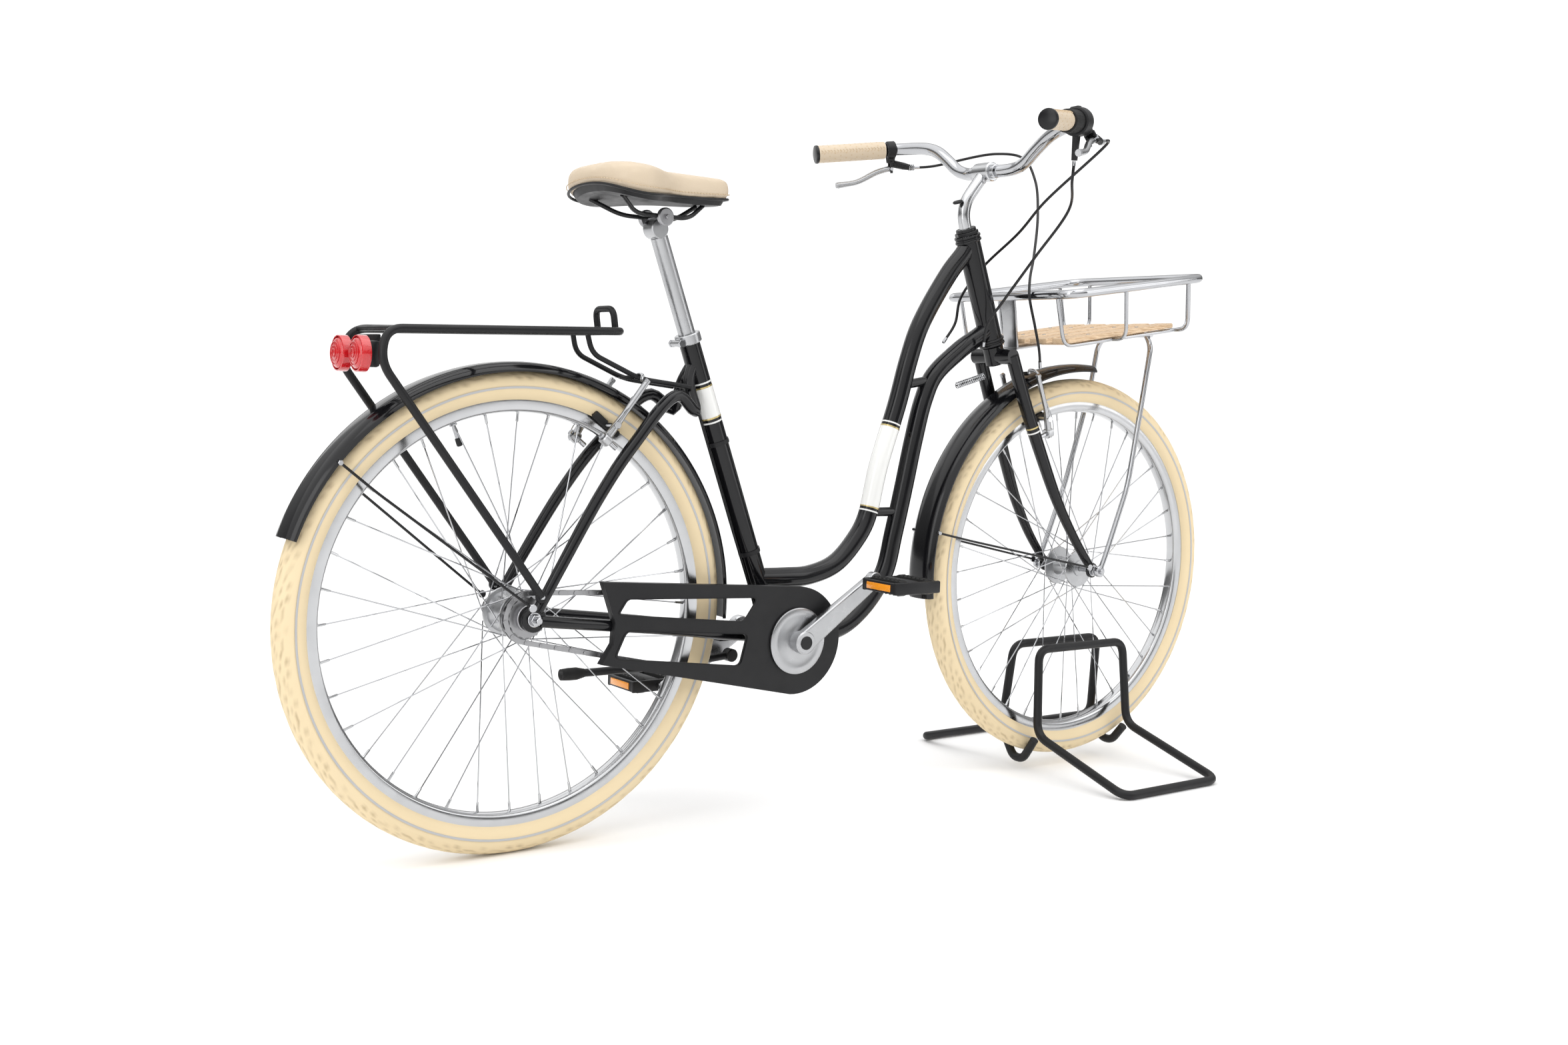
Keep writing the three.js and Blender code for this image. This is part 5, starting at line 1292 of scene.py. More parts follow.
basket_turn = Matrix.Rotation(-BASKET_TILT, 4, "Y")
rail = bent_path([in_basket(176, -162, 0), in_basket(352, -162, 0), in_basket(352, 162, 0),
                 in_basket(0, 162, 0), in_basket(0, -162, 0), in_basket(175, -162, 0)], 34, 10)
wire_parts = [paint(tube("top_rail", rail, 8, 22, closed=True), "plated_steel")]
for x in (135.5, 306.2):
    cross = bent_path([in_basket(x, -162, 0), in_basket(x, -156, -92),
                      in_basket(x, 156, -92), in_basket(x, 162, 0)], 22, 8)
    wire_parts.append(paint(tube("cross_wire", cross, 3.5, 14), "plated_steel"))
for y in (-123, 123):
    long = bent_path([in_basket(0, y, 0), in_basket(10, y, -92),
                     in_basket(344, y, -92), in_basket(352, y, 0)], 22, 8)
    wire_parts.append(paint(tube("long_wire", long, 3.5, 14), "plated_steel"))
wire_parts.append(
    paint(
        soft_box(
            "hanger", (5, 34, 96), in_basket(
                2, 0, -46), 1.2, basket_turn), "satin_alloy"))
wire_parts.append(
    paint(
        soft_box(
            "hanger_foot", (60, 34, 5), in_basket(
                29, 0, -94.5), 1.2, basket_turn), "satin_alloy"))
wire_parts.append(
    paint(
        soft_box(
            "tie", (332, 10, 3), in_basket(
                176, 0, -94), 0.8, basket_turn), "plated_steel"))
mount(joined("basket_wires", wire_parts), "fork", "bright_steel", "basket_frame")
boards = []
for number in range(5):
    y = (number - 2) * 54.5
    boards.append(paint(soft_box("slat", (280, 42, 9), in_basket(156, y, -82.8), 2.5, basket_turn), "beech"))
for x in (88, 218):
    boards.append(
    paint(
        soft_box(
            "batten", (26, 233, 8.6), in_basket(
                x, 0, -91.7), 1.5, basket_turn), "beech"))
    for number in range(5):
        screw = in_basket(x, (number - 2) * 54.5, -78.4)
        up = basket_turn.to_3x3() @ Vector((0, 0, 1))
        boards.append(paint(rounded_bar("screw", 0, 1, 3.6, screw, up, 18, 0.4), "plated_steel"))
mount(joined("basket_boards", boards), "fork", "beech_wood", "basket_floor")
stay_parts = [paint(tube("stay_cross", [in_basket(311.5, -64, -101.8),
                    in_basket(311.5, 64, -101.8)], 5, 16), "plated_steel")]
for side in (-1, 1):
    top = in_basket(311.5, 64 * side, -101.8)
    leg = bent_path([in_basket(311.5, 50 * side, -101.8), top + Vector((-0.004, 0.003 * side, -0.022)),
                     top + Vector((-0.018, 0.004 * side, -0.106)), FRONT + Vector((66, 79 * side,
                         160)) / 1000,
                     FRONT + Vector((14, 80 * side, 30)) / 1000, FRONT + Vector((2, 80 * side,
                         4)) / 1000], 26, 8)
    stay_parts.append(paint(tube("stay_leg", leg, 5, 18), "plated_steel"))
    low, high = sorted((76.4 * side, 83.6 * side))
    stay_parts.append(paint(rounded_bar("eyelet", low, high, 11, FRONT, (0, 1, 0), 36, 1.2), "plated_steel"))
mount(joined("basket_leg_pair", stay_parts), "fork", "bright_steel", "basket_stay")
print("basket done")

# %% [markdown]
# The rack is one long bent tube on either side with cross tubes, a deck of thinner rods and a spring clip
# hoop. Its tail light is a black block with two round red lenses, each with a rim and fine pattern.

# %% Rack and tail light
rack_parts = []
for side in (-1, 1):
    run = [at(6, 75 * side, 392.5), at(-22, 75 * side, 430.5), at(-240, 73 * side, 720.5),
              at(-228, 63 * side, 765.5), at(140, 63 * side, 778.5), at(148, 6 * side, 779.5)]
    rack_parts.append(paint(tube("run", bent_path(run, 30, 10), 6, 20), "black_powder"))
    foot = rounded_bar("foot", -3, 3, 9, at(6, 75 * side, 392.5), (0, 1, 0), 32, 1)
    rack_parts.append(paint(foot, "black_powder"))
    screw = rounded_bar("screw", 75 * side - 5, 75 * side + 5, 4.5, at(6, 0, 392.5), (0, 1, 0), 6, 0.8)
    rack_parts.append(paint(screw, "plated_steel"))
    arm = bent_path([at(100, 22 * side, 776.5), at(108, 24 * side, 744.5), at(192, 25 * side, 709.5),
                     on_seat_tube(-36, 25 * side, 446)], 20, 8)
    rack_parts.append(paint(tube("arm", arm, 4, 14), "black_powder"))
    rack_parts.append(
        paint(tube("deck_rod", [at(-218, 22 * side, 765.8), at(100, 22 * side, 777)], 3.5, 14),
            "black_powder"))
for x in (-218, -72, 100):
    z = 765.5 + (x + 228) * 13 / 368
    rack_parts.append(paint(tube("cross", [at(x, -63, z), at(x, 63, z)], 4, 14), "black_powder"))
clip = bent_path([at(146, -26, 779.5), at(141, -26, 812.5), at(141, 26, 812.5), at(146, 26, 779.5)], 14, 8)
rack_parts.append(paint(tube("hoop", clip, 5, 18), "black_powder"))
rack_parts.append(paint(tube("end_bridge", [at(148, -8, 779.5), at(148, 8, 779.5)], 6, 18), "black_powder"))
rack_parts.append(paint(soft_box("bracket", (8, 60, 26), at(-226, 0, 744.5), 1.5), "black_powder"))
mount(joined("rack_tubes", rack_parts), "frame", "black_powder", "rear_rack")
light_parts = [paint(soft_box("block", (18, 104, 36), at(-239.3, 0, 730.5), 5), "black_plastic")]
for side in (-1, 1):
    middle = at(-246.3, 34 * side, 730.5)
    dome = [(0, 17.6), (6, 17.4), (12, 16.6), (17, 15.2),
             (20, 13.4), (21.5, 11), (22.4, 8), (22.4, 1), (0, 1)]
    light_parts.append(paint(turned("lens", dome, 72, middle, (-1, 0, 0)), "red_lens"))
    band = [(22.6, 0), (25, 0), (25, 10), (24.4, 12.4), (22.9, 12.8), (22.6, 11)]
    light_parts.append(paint(turned("rim", band, 72, middle, (-1, 0, 0)), "red_lens"))
    for ring in range(3):
        radius = 6 + ring * 5
        height = 17.9 - ring * 0.9
        line = [middle + Vector((-height / 1000, math.cos(t) * radius / 1000, math.sin(t) * radius / 1000))
                for t in (2 * math.pi * k / 48 for k in range(48))]
        light_parts.append(paint(tube("lens_ring", line, 0.7, 8, closed=True), "red_lens"))
mount(joined("tail_light_pair", light_parts), "frame", "red_lens", "tail_light")
print("rack done")

# %% [markdown]
# The chain is real links: thin plates in pairs, joined by rollers. One inner and one outer link are made
# and copied along the loop round the sprocket and the chainring, half an inch apart.

# %% Chain and sprocket
PITCH = 12.7
RING_RADIUS = 38 * PITCH / (2 * math.pi)
SPROCKET_RADIUS = 18 * PITCH / (2 * math.pi)
CHAIN_Y = -45


def belt(a, radius_a, b, radius_b, steps=24):
    """The outline of a band stretched round two circles in the side plane."""
    along = math.atan2(b.z - a.z, b.x - a.x)
    lead = math.acos((radius_a - radius_b) / 1000 / (b - a).length)
    places = []
    for i in range(steps + 1):
        turn = along + lead + (2 * math.pi - 2 * lead) * i / steps
        places.append(a + Vector((math.cos(turn), 0, math.sin(turn))) * radius_a / 1000)
    for i in range(steps + 1):
        turn = along - lead + 2 * lead * i / steps
        places.append(b + Vector((math.cos(turn), 0, math.sin(turn))) * radius_b / 1000)
    return places


loop = belt(REAR, SPROCKET_RADIUS, BRACKET, RING_RADIUS)
loop.append(loop[0])
loop_long = sum((b - a).length for a, b in zip(loop, loop[1:])) * 1000
LINKS = 2 * round(loop_long / PITCH / 2)
pins = resample(loop, LINKS)
links = []
for kind, y_half in ((0, 2.6), (1, 3.7)):
    origin = Vector((0, 0, 0))
    shape = belt(origin, 3.7, Vector((PITCH / 1000, 0, 0)), 3.6, 5)
    plates = [side_plate("link", shape, s * y_half - 0.5, s * y_half + 0.5, 0.1) for s in (-1, 1)]
    half = 3.3 if kind == 0 else 4.6
    plates.append(rounded_bar("roller", -half, half, 3.2 if kind == 0 else 1.8, origin, (0, 1, 0), 10, 0.2))
    links.append(joined("link", plates))
pieces = []
for number in range(LINKS):
    start, end = pins[number], pins[number + 1]
    step = end - start
    copy = links[number % 2].copy()
    copy.data = links[number % 2].data.copy()
    bpy.context.collection.objects.link(copy)
    turn = Matrix.Rotation(math.atan2(-step.z, step.x), 4, "Y")
    copy.data.transform(Matrix.Translation(start + Vector((0, CHAIN_Y / 1000, 0))) @ turn)
    pieces.append(paint(copy, "grey_steel"))
for made in links:
    bpy.data.objects.remove(made)
mount(joined("chain_links", pieces), "frame", "satin_alloy", "chain")


def toothed_ring(name, centre, radius, teeth, y, holes=()):
    """A sprocket plate whose edge rises into rounded teeth."""
    outline = []
    for number in range(teeth * 6):
        share = number % 6 / 6
        reach = radius - 3.6 + 2.2 * max(0, math.cos(2 * math.pi * share))
        outline.append(round_axle(centre, reach, 360 * number / (teeth * 6), 0))
    return paint(side_plate(name, outline, y - 1, y + 1, 0.2, holes), "grey_steel")


cog = [toothed_ring("cog", REAR, SPROCKET_RADIUS - 3.6, 18, CHAIN_Y, [ring_points(REAR, 11, 32)])]
cog.append(
    paint(
        turned(
            "carrier", [
                (11, -53), (19, -53), (20, -52), (20, -36), (19, -34), (11, -34)], 40, REAR), "grey_steel"))
mount(joined("cog_turned", cog), "freewheel", "satin_alloy", "rear_sprocket")
print("chain links", LINKS)

# %% [markdown]
# The chain case is a thin black plate with two long windows and a turned-in lip. Beside it the polished
# disc and the crank arm turn together; the arm tapers from the bottom bracket to the pedal.

# %% Chain case, cranks and pedals
def from_bracket(x, z):
    """A place beside the bottom bracket in millimetres."""
    return BRACKET + Vector((x, 0, z)) / 1000


def case_outline(inset):
    """The edge of the chain case, a round front and two long tails."""
    places = [from_bracket(-362 + inset, 112 - inset)]
    places += [round_axle(BRACKET, 88 - inset, 84 - 180 * i / 32, 0) for i in range(33)]
    places += [from_bracket(-362 + inset, -12 + inset), from_bracket(-342 + \
                            inset, 18), from_bracket(-340 + inset, 50)]
    return places


def rounded_outline(corners, bend):
    """A closed outline with its corners rounded."""
    doubled = [corners[0].lerp(corners[-1], 0.5), *corners, corners[0].lerp(corners[-1], 0.5)]
    return bent_path(doubled, bend, 6)[:-1]


WINDOWS = [((-319, 84), (-80, 74), (-106, 38), (-334, 62)), ((-319, 36), (-99, 17), (-112, -32), (-338, -4))]
windows = [rounded_outline([from_bracket(x, z) for x, z in corners], 10) for corners in WINDOWS]
hub_hole = ring_points(BRACKET, 30, 48)
case_parts = [side_plate("case", case_outline(0), -72, -69.5, 0.5, [*windows, hub_hole])]
case_parts.append(side_plate("lip", case_outline(0), -69.6, -58, 0.3, [case_outline(2.5)]))
for corners in windows:
    middle = sum(corners, Vector((0, 0, 0))) / len(corners)
    wide = [middle + (p - middle) * 1.0 + (p - middle).normalized() * 0.003 for p in corners]
    case_parts.append(side_plate("window_edge", wide, -73.2, -71.8, 0.5, [corners]))
for part in case_parts:
    paint(part, "black_plastic")
mount(joined("chain_case_moulding", case_parts), "frame", "black_plastic", "chain_case")


def crank_tip(side):
    """Where the pedal's spindle stands, in the side plane."""
    return Vector((0.02544, 0, 0.39156)) if side < 0 else Vector((-0.25644, 0, 0.20144))


for side, word in ((-1, "right"), (1, "left")):
    tip = crank_tip(side)
    low, high = sorted((84 * side, 98 * side))
    arm_shape = belt(BRACKET, 18, tip, 12.5) if side < 0 else belt(tip, 12.5, BRACKET, 18)
    parts = [side_plate("arm", arm_shape, low, high, 3)]
    parts.append(rounded_bar("boss", low - 1, high + 1, 19, BRACKET, (0, 1, 0), 48, 2))
    parts.append(rounded_bar("eye", low - 0.5, high + 0.5, 13.5, tip, (0, 1, 0), 40, 1.5))
    for part in parts:
        paint(part, "satin_alloy")
    face = sorted((98 * side, 101 * side))
    parts.append(
    paint(
        rounded_bar(
            "dust_cap",
            face[0],
            face[1],
            11,
            BRACKET,
            (0,
            1,
            0),
            32,
            1),
             "black_plastic"))
    reach = sorted((94 * side, 198 * side))
    parts.append(
    paint(
        rounded_bar(
            "pedal_spindle",
            reach[0],
            reach[1],
            4.5,
            tip,
            (0,
            1,
            0),
            24,
            0.5),
             "plated_steel"))
    if side < 0:
        spindle = rounded_bar("spindle", -96, 96, 8, BRACKET, (0, 1, 0), 32, 0.5)
        parts.append(paint(spindle, "grey_steel"))
        holes = [ring_points(round_axle(BRACKET, 45, 45 + i * 90, 0), 13, 32) for i in range(4)]
        parts.append(toothed_ring("chainring", BRACKET, RING_RADIUS - 3.6, 38, CHAIN_Y, holes))
        parts.append(paint(rounded_bar("spider", -94, -44, 17, BRACKET, (0, 1, 0), 48, 1), "satin_alloy"))
        disc = [(0, -77.6), (20, -77.6), (22, -76.8), (40, -76.8), (42, -77.4),
                 (52, -77.4), (54, -76.2), (54, -73.5), (0, -73.5)]
        parts.append(paint(turned("disc", disc, 96, BRACKET), "satin_alloy"))
    mount(joined(f"crank_{word}_forged", parts), "cranks", "satin_alloy", f"crank_{word}")

    middle_y = 162 * side
    body_parts = []
    for y in (-38.5, 38.5):
        bar = soft_box("side", (96, 7, 20), tip + Vector((0, middle_y + y, 0)) / 1000, 2.5)
        body_parts.append(paint(bar, "black_plastic"))
    for x in (-44, 44):
        bar = soft_box("end", (8, 78, 18), tip + Vector((x, middle_y, 0)) / 1000, 2)
        body_parts.append(paint(bar, "black_plastic"))
        lens = soft_box("reflector", (2.4, 58, 11), tip + Vector((x * 1.098, middle_y, 0)) / 1000, 0.8)
        body_parts.append(paint(lens, "amber_lens"))
    for x in (-27, 27):
        pad = soft_box("tread", (16, 74, 24), tip + Vector((x, middle_y, 0)) / 1000, 3)
        body_parts.append(paint(pad, "black_rubber"))
        for y in range(-30, 31, 10):
            for z in (-12, 12):
                rib = soft_box("rib", (13, 3, 1.6), tip + Vector((x, middle_y + y, z)) / 1000, 0.5)
                body_parts.append(paint(rib, "black_rubber"))
    low, high = sorted(((middle_y - 36), (middle_y + 36)))
    ring = [(5.6, low), (10, low), (11, low + 2), (11, high - 2), (10, high), (5.6, high)]
    body_parts.append(paint(turned("barrel", ring, 32, tip), "black_plastic"))
    mount(joined(f"pedal_{word}_body", body_parts), f"{word}_pedal", "black_plastic", f"pedal_{word}")
print("drive done")

# %% [markdown]
# The floor stand and the kickstand are bent tube, like the frame, but with a dull powder coat. Each side of
# the stand is one closed loop, and two short cradles cross between them under the wheel.

# %% Floor stand and kickstand
STAND_RADIUS = 8
STAND_REAR, STAND_FRONT = 1065, 1311
STAND_TOP = 232
for side, word in ((1, "left"), (-1, "right")):
    loop_points = []
    for x, lean in ((STAND_REAR, -1), (STAND_FRONT, 1)):
        leg = [at(x + 4 * lean, 267 * side, 8.0), at(x, 47 * side, 73), at(x - 8 * lean, 33 * side,
            STAND_TOP)]
        loop_points.append(leg)
    rear_leg, front_leg = loop_points
    ring = [at(1188, 267 * side, 8.0), front_leg[0], front_leg[1], front_leg[2], at(1188, 33 * side,
        STAND_TOP),
            rear_leg[2], rear_leg[1], rear_leg[0]]
    ring.append(ring[0])
    hoop = paint(tube("loop", bent_path(ring, 26, 10)[:-1], STAND_RADIUS, 24, closed=True), "black_powder")
    mount(joined(f"stand_hoop_{word}", [hoop]), "stand", "black_powder", f"stand_loop_{word}")
for x, low, word in ((STAND_REAR, 21.1, "rear"), (STAND_FRONT, 31.4, "front")):
    path = bent_path([at(x, -47, 73), at(x, -13, low), at(x, 13, low), at(x, 47, 73)], 12, 8)
    path = resample(path, 40, 0.085, 0.915)
    mount(
    paint(
        tube(
            f"cradle_{word}",
            path,
            STAND_RADIUS,
            22),
            "black_powder"),
            "stand",
            "black_powder",
             f"stand_cradle_{word}")
PIVOT = at(435, 62, 254.5)
leg = bent_path([PIVOT, PIVOT + Vector((-110, 6, -10)) / 1000,
                PIVOT + Vector((-314, 10, -10)) / 1000], 24, 8)
leg_parts = [paint(tube("leg", leg, 6.5, 22), "black_powder")]
leg_parts.append(
    paint(
        tube(
            "foot",
            resample(
                leg,
                12,
                0.87,
                1.0),
                10,
                24,
                radii=[
                    0.7,
                    1,
                    1,
                    0.9]),
                     "black_rubber"))
leg_parts.append(paint(rounded_bar("pivot", -9, 9, 11, PIVOT, (0, 1, 0), 36, 1.5), "black_powder"))
mount(joined("kickstand_bent", leg_parts), "kickstand", "black_powder", "kickstand_leg")
print("stand done")

# %% [markdown]
# Each hand has a clamp ring on the bar, a lever that turns on a pin below it, and a barrel that the cable
# leaves through. The right hand also has the gear shifter: a ribbed rubber sleeve that turns on the bar
# beside a round housing, whose window and cable outlet face the rider.

# %% Levers and shifter
def squared(direction, inward):
    """A direction made square to the bar."""
    direction = Vector(direction)
    return (direction - inward * direction.dot(inward)).normalized()


def hand(side):
    """The directions at one grip: along the bar, down towards the lever, and the lever's pin."""
    inward = (on_grip(side, 10) - on_grip(side, 0)).normalized()
    down = squared((0.62, 0, -0.78) if side > 0 else (0.86, 0, -0.51), inward)
    return inward, down, inward.cross(down).normalized()


cable_exit = {}
for side, word, low, high in ((1, "left", 134, 150), (-1, "right", 151, 167)):
    inward, down, pin = hand(side)
    middle = on_grip(side, (low + high) / 2)
    pivot = middle + down * 0.034
    ring = [(11.4, low), (14.6, low), (16, low + 1.4), (16, high - 1.4), (14.6, high), (11.4, high)]
    bits = [turned("ring", ring, 40, on_grip(side, 0), inward)]
    bits.append(tube("arm", [middle + down * 0.0145, pivot - down * 0.010], 9, 24, radii=[1, 0.85]))
    for reach in (-7.6, 7.6):
        bits.append(tube("cheek", [pivot - down * 0.013 + pin * reach / 1000,
                    pivot + down * 0.008 + pin * reach / 1000], 2.6, 14))
    barrel = [
    pivot -
    down *
    0.008 +
    inward *
    0.004,
    pivot +
    inward *
    0.026 -
    down *
    0.002,
    pivot +
    inward *
    0.042 +
    down *
     0.002]
    bits.append(tube("barrel", barrel, 7, 24, radii=[1, 0.95, 0.7]))
    for bit in bits:
        paint(bit, "black_plastic")
    bits.append(paint(rounded_bar("pin", -11, 11, 3, pivot, pin, 20, 0.6), "plated_steel"))
    for step in range(4):
        place = pivot + inward * (0.036 + step * 0.003) + down * 0.0017
        bits.append(paint(rounded_bar("adjuster", 0, 1.6, 6.2, place, inward, 14, 0.4), "polished_alloy"))
    mount(joined(f"lever_mount_{word}", bits), "fork", "black_plastic", f"lever_bracket_{word}")
    reach = [
    pivot +
    inward *
    0.003,
    pivot -
    inward *
    0.026 +
    down *
    0.006,
    pivot -
    inward *
    0.066 +
    down *
    0.022,
    pivot -
    inward *
    0.104 +
    down *
     0.026]
    blade = tube("blade", smooth_path(reach, 40), 5.5, 22, radii=[0.95, 1, 1.02, 0.95, 0.9, 1.1])
    knob = tube("end", [reach[-1] + inward * 0.003, reach[-1] - \
                inward * 0.003], 6.4, 24, radii=[0.9, 1, 0.8])
    blade_parts = [paint(blade, "satin_alloy"), paint(knob, "satin_alloy")]
    mount(
    joined(
        f"lever_blade_{word}",
        blade_parts),
        f"{word}_brake_lever",
        "satin_alloy",
         f"brake_lever_{word}")
    cable_exit[side] = pivot + inward * 0.042 + down * 0.002

inward, down, pin = hand(-1)
place = on_grip(-1, 0)
outline = [(11.4, 78.6), (17.4, 78.6), (19, 80), (19, 116.4), (17.4, 117.8), (11.4, 117.8)]
twist = [paint(turned("sleeve", outline, 48, place, inward), "black_rubber")]
for number in range(24):
    start = ring_of(place + inward * 0.083, inward, 18.9, number, 24)
    twist.append(paint(tube("rib", [start, start + inward * 0.030],
                 0.9, 8, radii=[0.5, 1, 1, 0.5]), "black_rubber"))
mount(joined("twist_sleeve", twist), "twist_grip", "black_rubber", "twist_shifter")
outlet = squared((-0.25, 0, -0.97), inward)
outline = [(11.4, 118.4), (21, 118.4), (23.4, 120), (24, 123),
            (24, 143), (23.4, 146), (21, 148), (11.4, 148)]
case_bits = [paint(turned("housing", outline, 56, place, inward), "black_plastic")]
case_bits.append(paint(tube("outlet", [on_grip(-1, 134) + outlet * 0.019,
                 on_grip(-1, 137) + outlet * 0.062], 6, 24, radii=[1.15, 1, 0.85]), "black_plastic"))
up_side = squared((-0.35, 0, 0.94), inward)
window_turn = Matrix((inward, up_side.cross(inward), up_side)).transposed().to_4x4()
case_bits.append(paint(soft_box("window", (16, 15, 5), on_grip(-1, 133) + \
                 up_side * 0.0225, 1.6, window_turn), "gloss_plastic"))
mount(joined("shifter_case", case_bits), "fork", "black_plastic", "shifter_housing")
print("hands done")

# %% [markdown]
# Each brake is a pair of long forged arms on studs. The cable comes in through a bent metal guide at the
# top, crosses through a rubber boot and pulls the arms together, so that the pads close on the rim.

# %% Brakes
def brake_arm(name, body, node, pivot, up, axis, side):
    """One arm with its pad, its pad bolt, the pivot bolt and a thin return wire."""
    def place(along, out, above):
        return pivot + (axis * along + Vector((0, side * out, 0)) + up * above) / 1000

    pad_y = 20.5 - abs(pivot.y * 1000)
    path = bent_path([place(0, 0, 0), place(2, 5, 40), place(2, 4, 112)], 14, 10)
    bits = [paint(tube("arm", path, 5.5, 20, radii=[1.15, 1, 0.95, 0.85, 0.8, 0.85]), "satin_alloy")]
    bits.append(paint(rounded_bar("boss", -7, 7, 9.5, pivot, axis, 32, 1.5), "satin_alloy"))
    bits.append(paint(rounded_bar("bolt", 7, 11, 5.5, pivot, axis, 6, 0.8), "plated_steel"))
    bits.append(paint(tube("pad_pin", [place(2, 8, 26), place(2, pad_y + 3, 26)], 4, 16), "plated_steel"))
    bits.append(
    paint(
        rounded_bar(
            "pad_nut", 6, 11, 6, place(
                2, 0, 26), Vector(
                    (0, side, 0)), 6, 0.6), "plated_steel"))
    pad_line = [place(-24, pad_y, 26), place(-22, pad_y, 26), place(2, pad_y, 26),
                      place(26, pad_y, 26), place(28, pad_y, 26)]
    bits.append(paint(tube("pad", pad_line, 6, 20, radii=[0.8, 1, 1, 1, 0.8]), "black_rubber"))
    wire = smooth_path([place(3, 2, -10), place(8, 8, 8), place(7, 10, 30), place(4, 9, 58)], 20)
    bits.append(paint(tube("spring_wire", wire, 0.9, 8), "plated_steel"))
    top = rounded_bar("anchor", -4, 4, 4.5, place(2, 4, 109), axis, 6, 0.6)
    bits.append(paint(top, "plated_steel"))
    return mount(joined(name, bits), body, "satin_alloy", node)


REAR_UP, REAR_OUT = Vector((0.617, 0, 0.787)), Vector((-0.787, 0, 0.617))
for side, word in ((1, "left"), (-1, "right")):
    front_pivot = Vector((0.47151, side * 0.042, 0.63747))
    brake_arm(
    f"front_arm_{word}",
    f"front_{word}_brake",
    f"front_brake_arm_{word}",
    front_pivot,
    STEER_UP,
    STEER_FORWARD,
     side)
    rear_pivot = Vector((-0.4655, side * 0.047, 0.6185))
    brake_arm(
    f"rear_arm_{word}",
    f"rear_{word}_brake",
    f"rear_brake_arm_{word}",
    rear_pivot,
    REAR_UP,
    REAR_OUT,
     side)
for name, body, pivot, up, axis in (
    ("front", "front_right_brake", Vector((0.47151, 0, 0.63747)), STEER_UP, STEER_FORWARD),
    ("rear", "rear_right_brake", Vector((-0.4655, 0, 0.6185)), REAR_UP, REAR_OUT),
):
    def place(along, y, above):
        return pivot + (axis * along + up * above + Vector((0, y, 0))) / 1000

    half = 40 if name == "front" else 44
    guide = smooth_path([place(9, -half - 4, 106), place(9, -half + 4, 116),
                        place(8, -half + 20, 118), place(8, -18, 112)], 24)
    bits = [paint(tube("guide", guide, 2.6, 16), "polished_alloy")]
    bits.append(
        paint(tube("wire", [place(9.5, -18, 112), place(9.5, half - 12, 110)], 0.8, 8), "plated_steel"))
    boot = [place(8, -17, 112), place(8, -12, 111.8), place(8, 8, 111), place(8, 20, 110.6)]
    bits.append(paint(tube("boot", boot, 4, 20, radii=[0.7, 1, 0.9, 0.7, 0.9, 0.6]), "black_rubber"))
    mount(joined(f"{name}_brake_wire", bits), body, "satin_alloy")
print("brakes done")
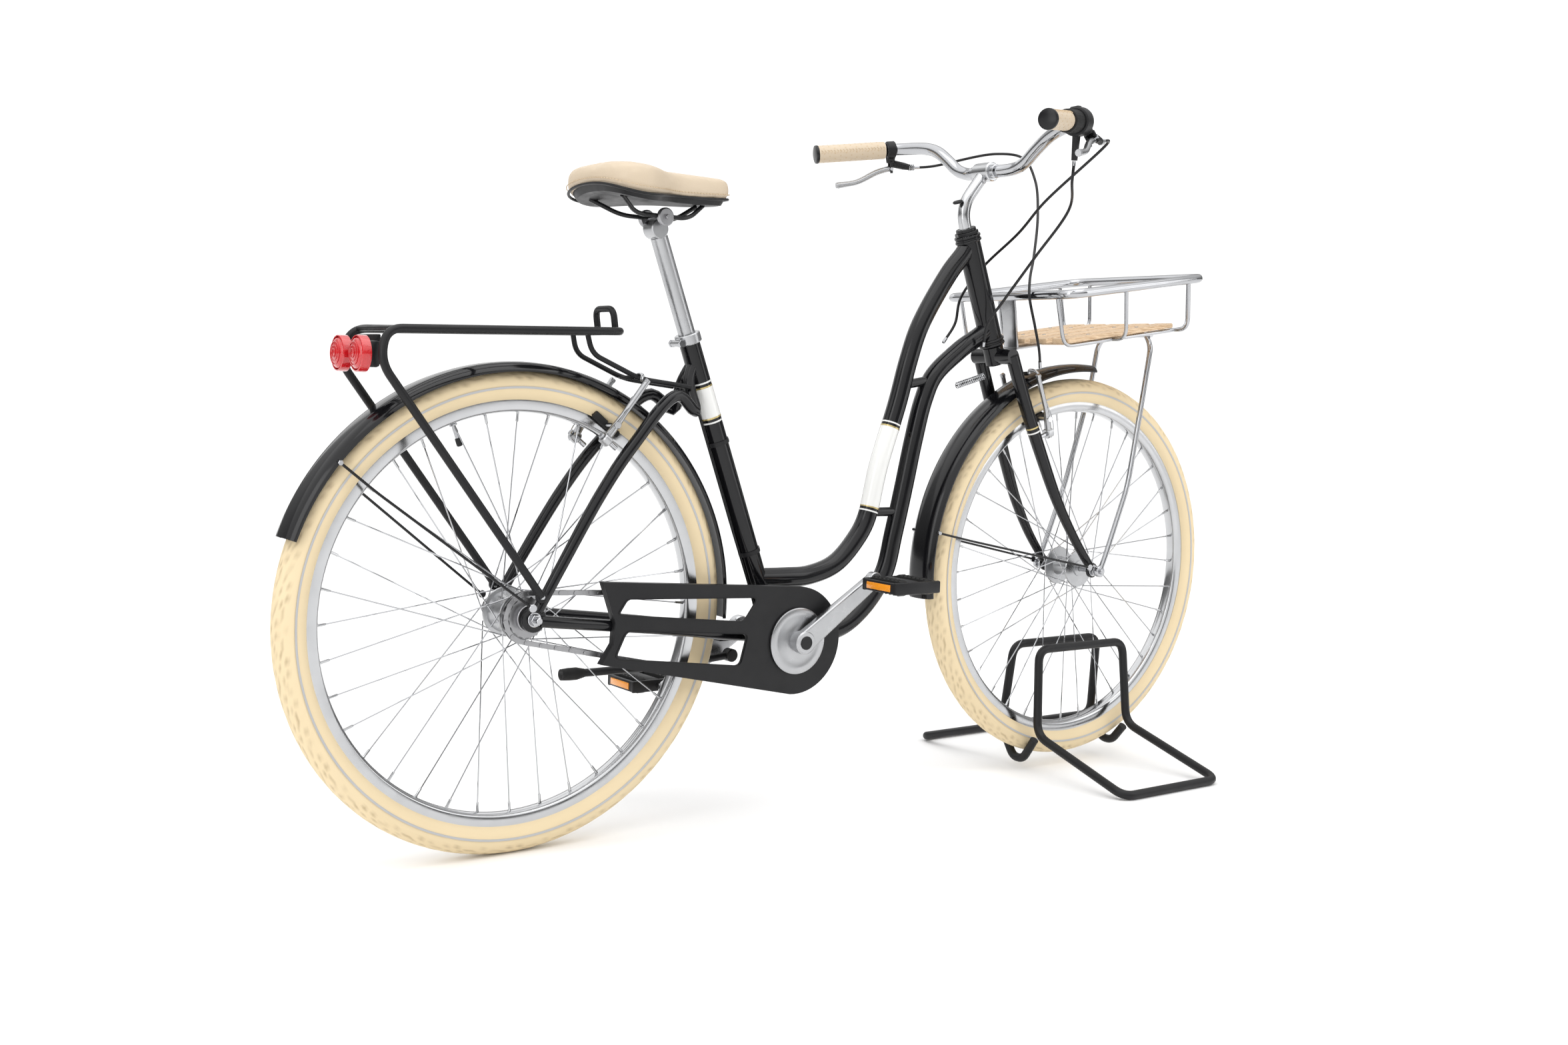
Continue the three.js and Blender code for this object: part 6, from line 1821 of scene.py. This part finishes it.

# %% [markdown]
# Cables are smooth black housings with a metal ferrule at either end. The two that cross from the bar to the
# frame would bend when the fork turns; each is left on no body and fixed where it is drawn. A coil spring
# behind the crown keeps the wheel straight.

# %% Cables and steering spring
CABLE_RADIUS = 2.5
inward_left = hand(1)[0]
front_line = [cable_exit[1] + inward_left * 0.001,
    cable_exit[1] + inward_left * 0.040] + [on_steering(*v) for v in (
    (240, 135, 299), (268, 95, 280), (252, 60, 240), (205, 24, 186), (128, -20, 124), (76, -52, 98), (48,
        -70, 72),
    (42, -74, 20), (49, -64, -28), (56, -50, -62))]
shift_start = on_grip(-1, 137) + outlet * 0.063
shift_line = [shift_start, shift_start + outlet * 0.030] + [on_steering(*v) for v in (
    (82, -172, 214), (40, -112, 146), (-4, -60, 84), (-34, -38, 50))] + [on_frame(0.9, 0.99, -27)]
rear_line = [cable_exit[-1] + inward * 0.001, cable_exit[-1] + inward * 0.036] + [on_steering(*v) for v in (
    (98, -104, 228), (82, -44, 182), (50, 34, 130), (-13, 40, 92), (-46, 32, 56))] + [on_frame(0.8, 1.0, 26)]
for name, line, node in (("front_cable", front_line, "front_brake_cable"), ("gear_cable",
                         shift_line, "shift_cable"), ("back_cable", rear_line, "rear_brake_cable")):
    way = smooth_path(line, 140)
    bits = [paint(tube("housing", way, CABLE_RADIUS, 14), "gloss_plastic")]
    for a, b in ((0.0, 0.02), (0.98, 1.0)):
        bits.append(paint(tube("ferrule", resample(way, 4, a, b), 3.1, 16), "plated_steel"))
    piece = joined(name, bits)
    if node == "front_brake_cable":
        mount(piece, "fork", "black_rubber", node)
    else:
        mount(piece, None, "black_rubber", node)
        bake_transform(piece)
spring_top = on_steering(-24, 0, -48)
spring_foot = on_frame(0.77, 0.832)
start, end = spring_top.lerp(spring_foot, 0.1), spring_top.lerp(spring_foot, 0.75)
axis = (end - start).normalized()
coil = []
for number in range(16 * 24 + 1):
    middle = start.lerp(end, number / (16 * 24))
    coil.append(ring_of(middle, axis, 5.0, number % 24, 24))
spring_bits = [paint(tube("coil", coil, 1.0, 8), "plated_steel")]
spring_bits.append(paint(tube("core", [start, end], 1.2, 12), "black_rubber"))
mount(joined("steering_coil", spring_bits), "frame", "bright_steel", "steering_spring")

# %% [markdown]
# A last thin cable runs down the back of the seat tube, held by two clips.

# %% Seat tube cable
down_cable = smooth_path([on_seat_tube(-19.6, 0, 470), on_seat_tube(-19.3, 0, 380),
                         on_seat_tube(-19.2, 0, 220), on_seat_tube(-19.4, 0, 60), on_seat_tube(-24, 0,
                             34)], 50)
bits = [paint(tube("line", down_cable, 2.2, 12), "gloss_plastic")]
for up in (150, 340):
    clip = [(16.8, up - 3.5), (18.2, up - 3.5), (18.4, up), (18.2, up + 3.5), (16.8, up + 3.5)]
    bits.append(paint(turned("clip", clip, 40, SEAT_FOOT, STEER_UP), "black_plastic"))
mount(joined("seat_tube_cable", bits), "frame", "black_rubber")
print("cables done")
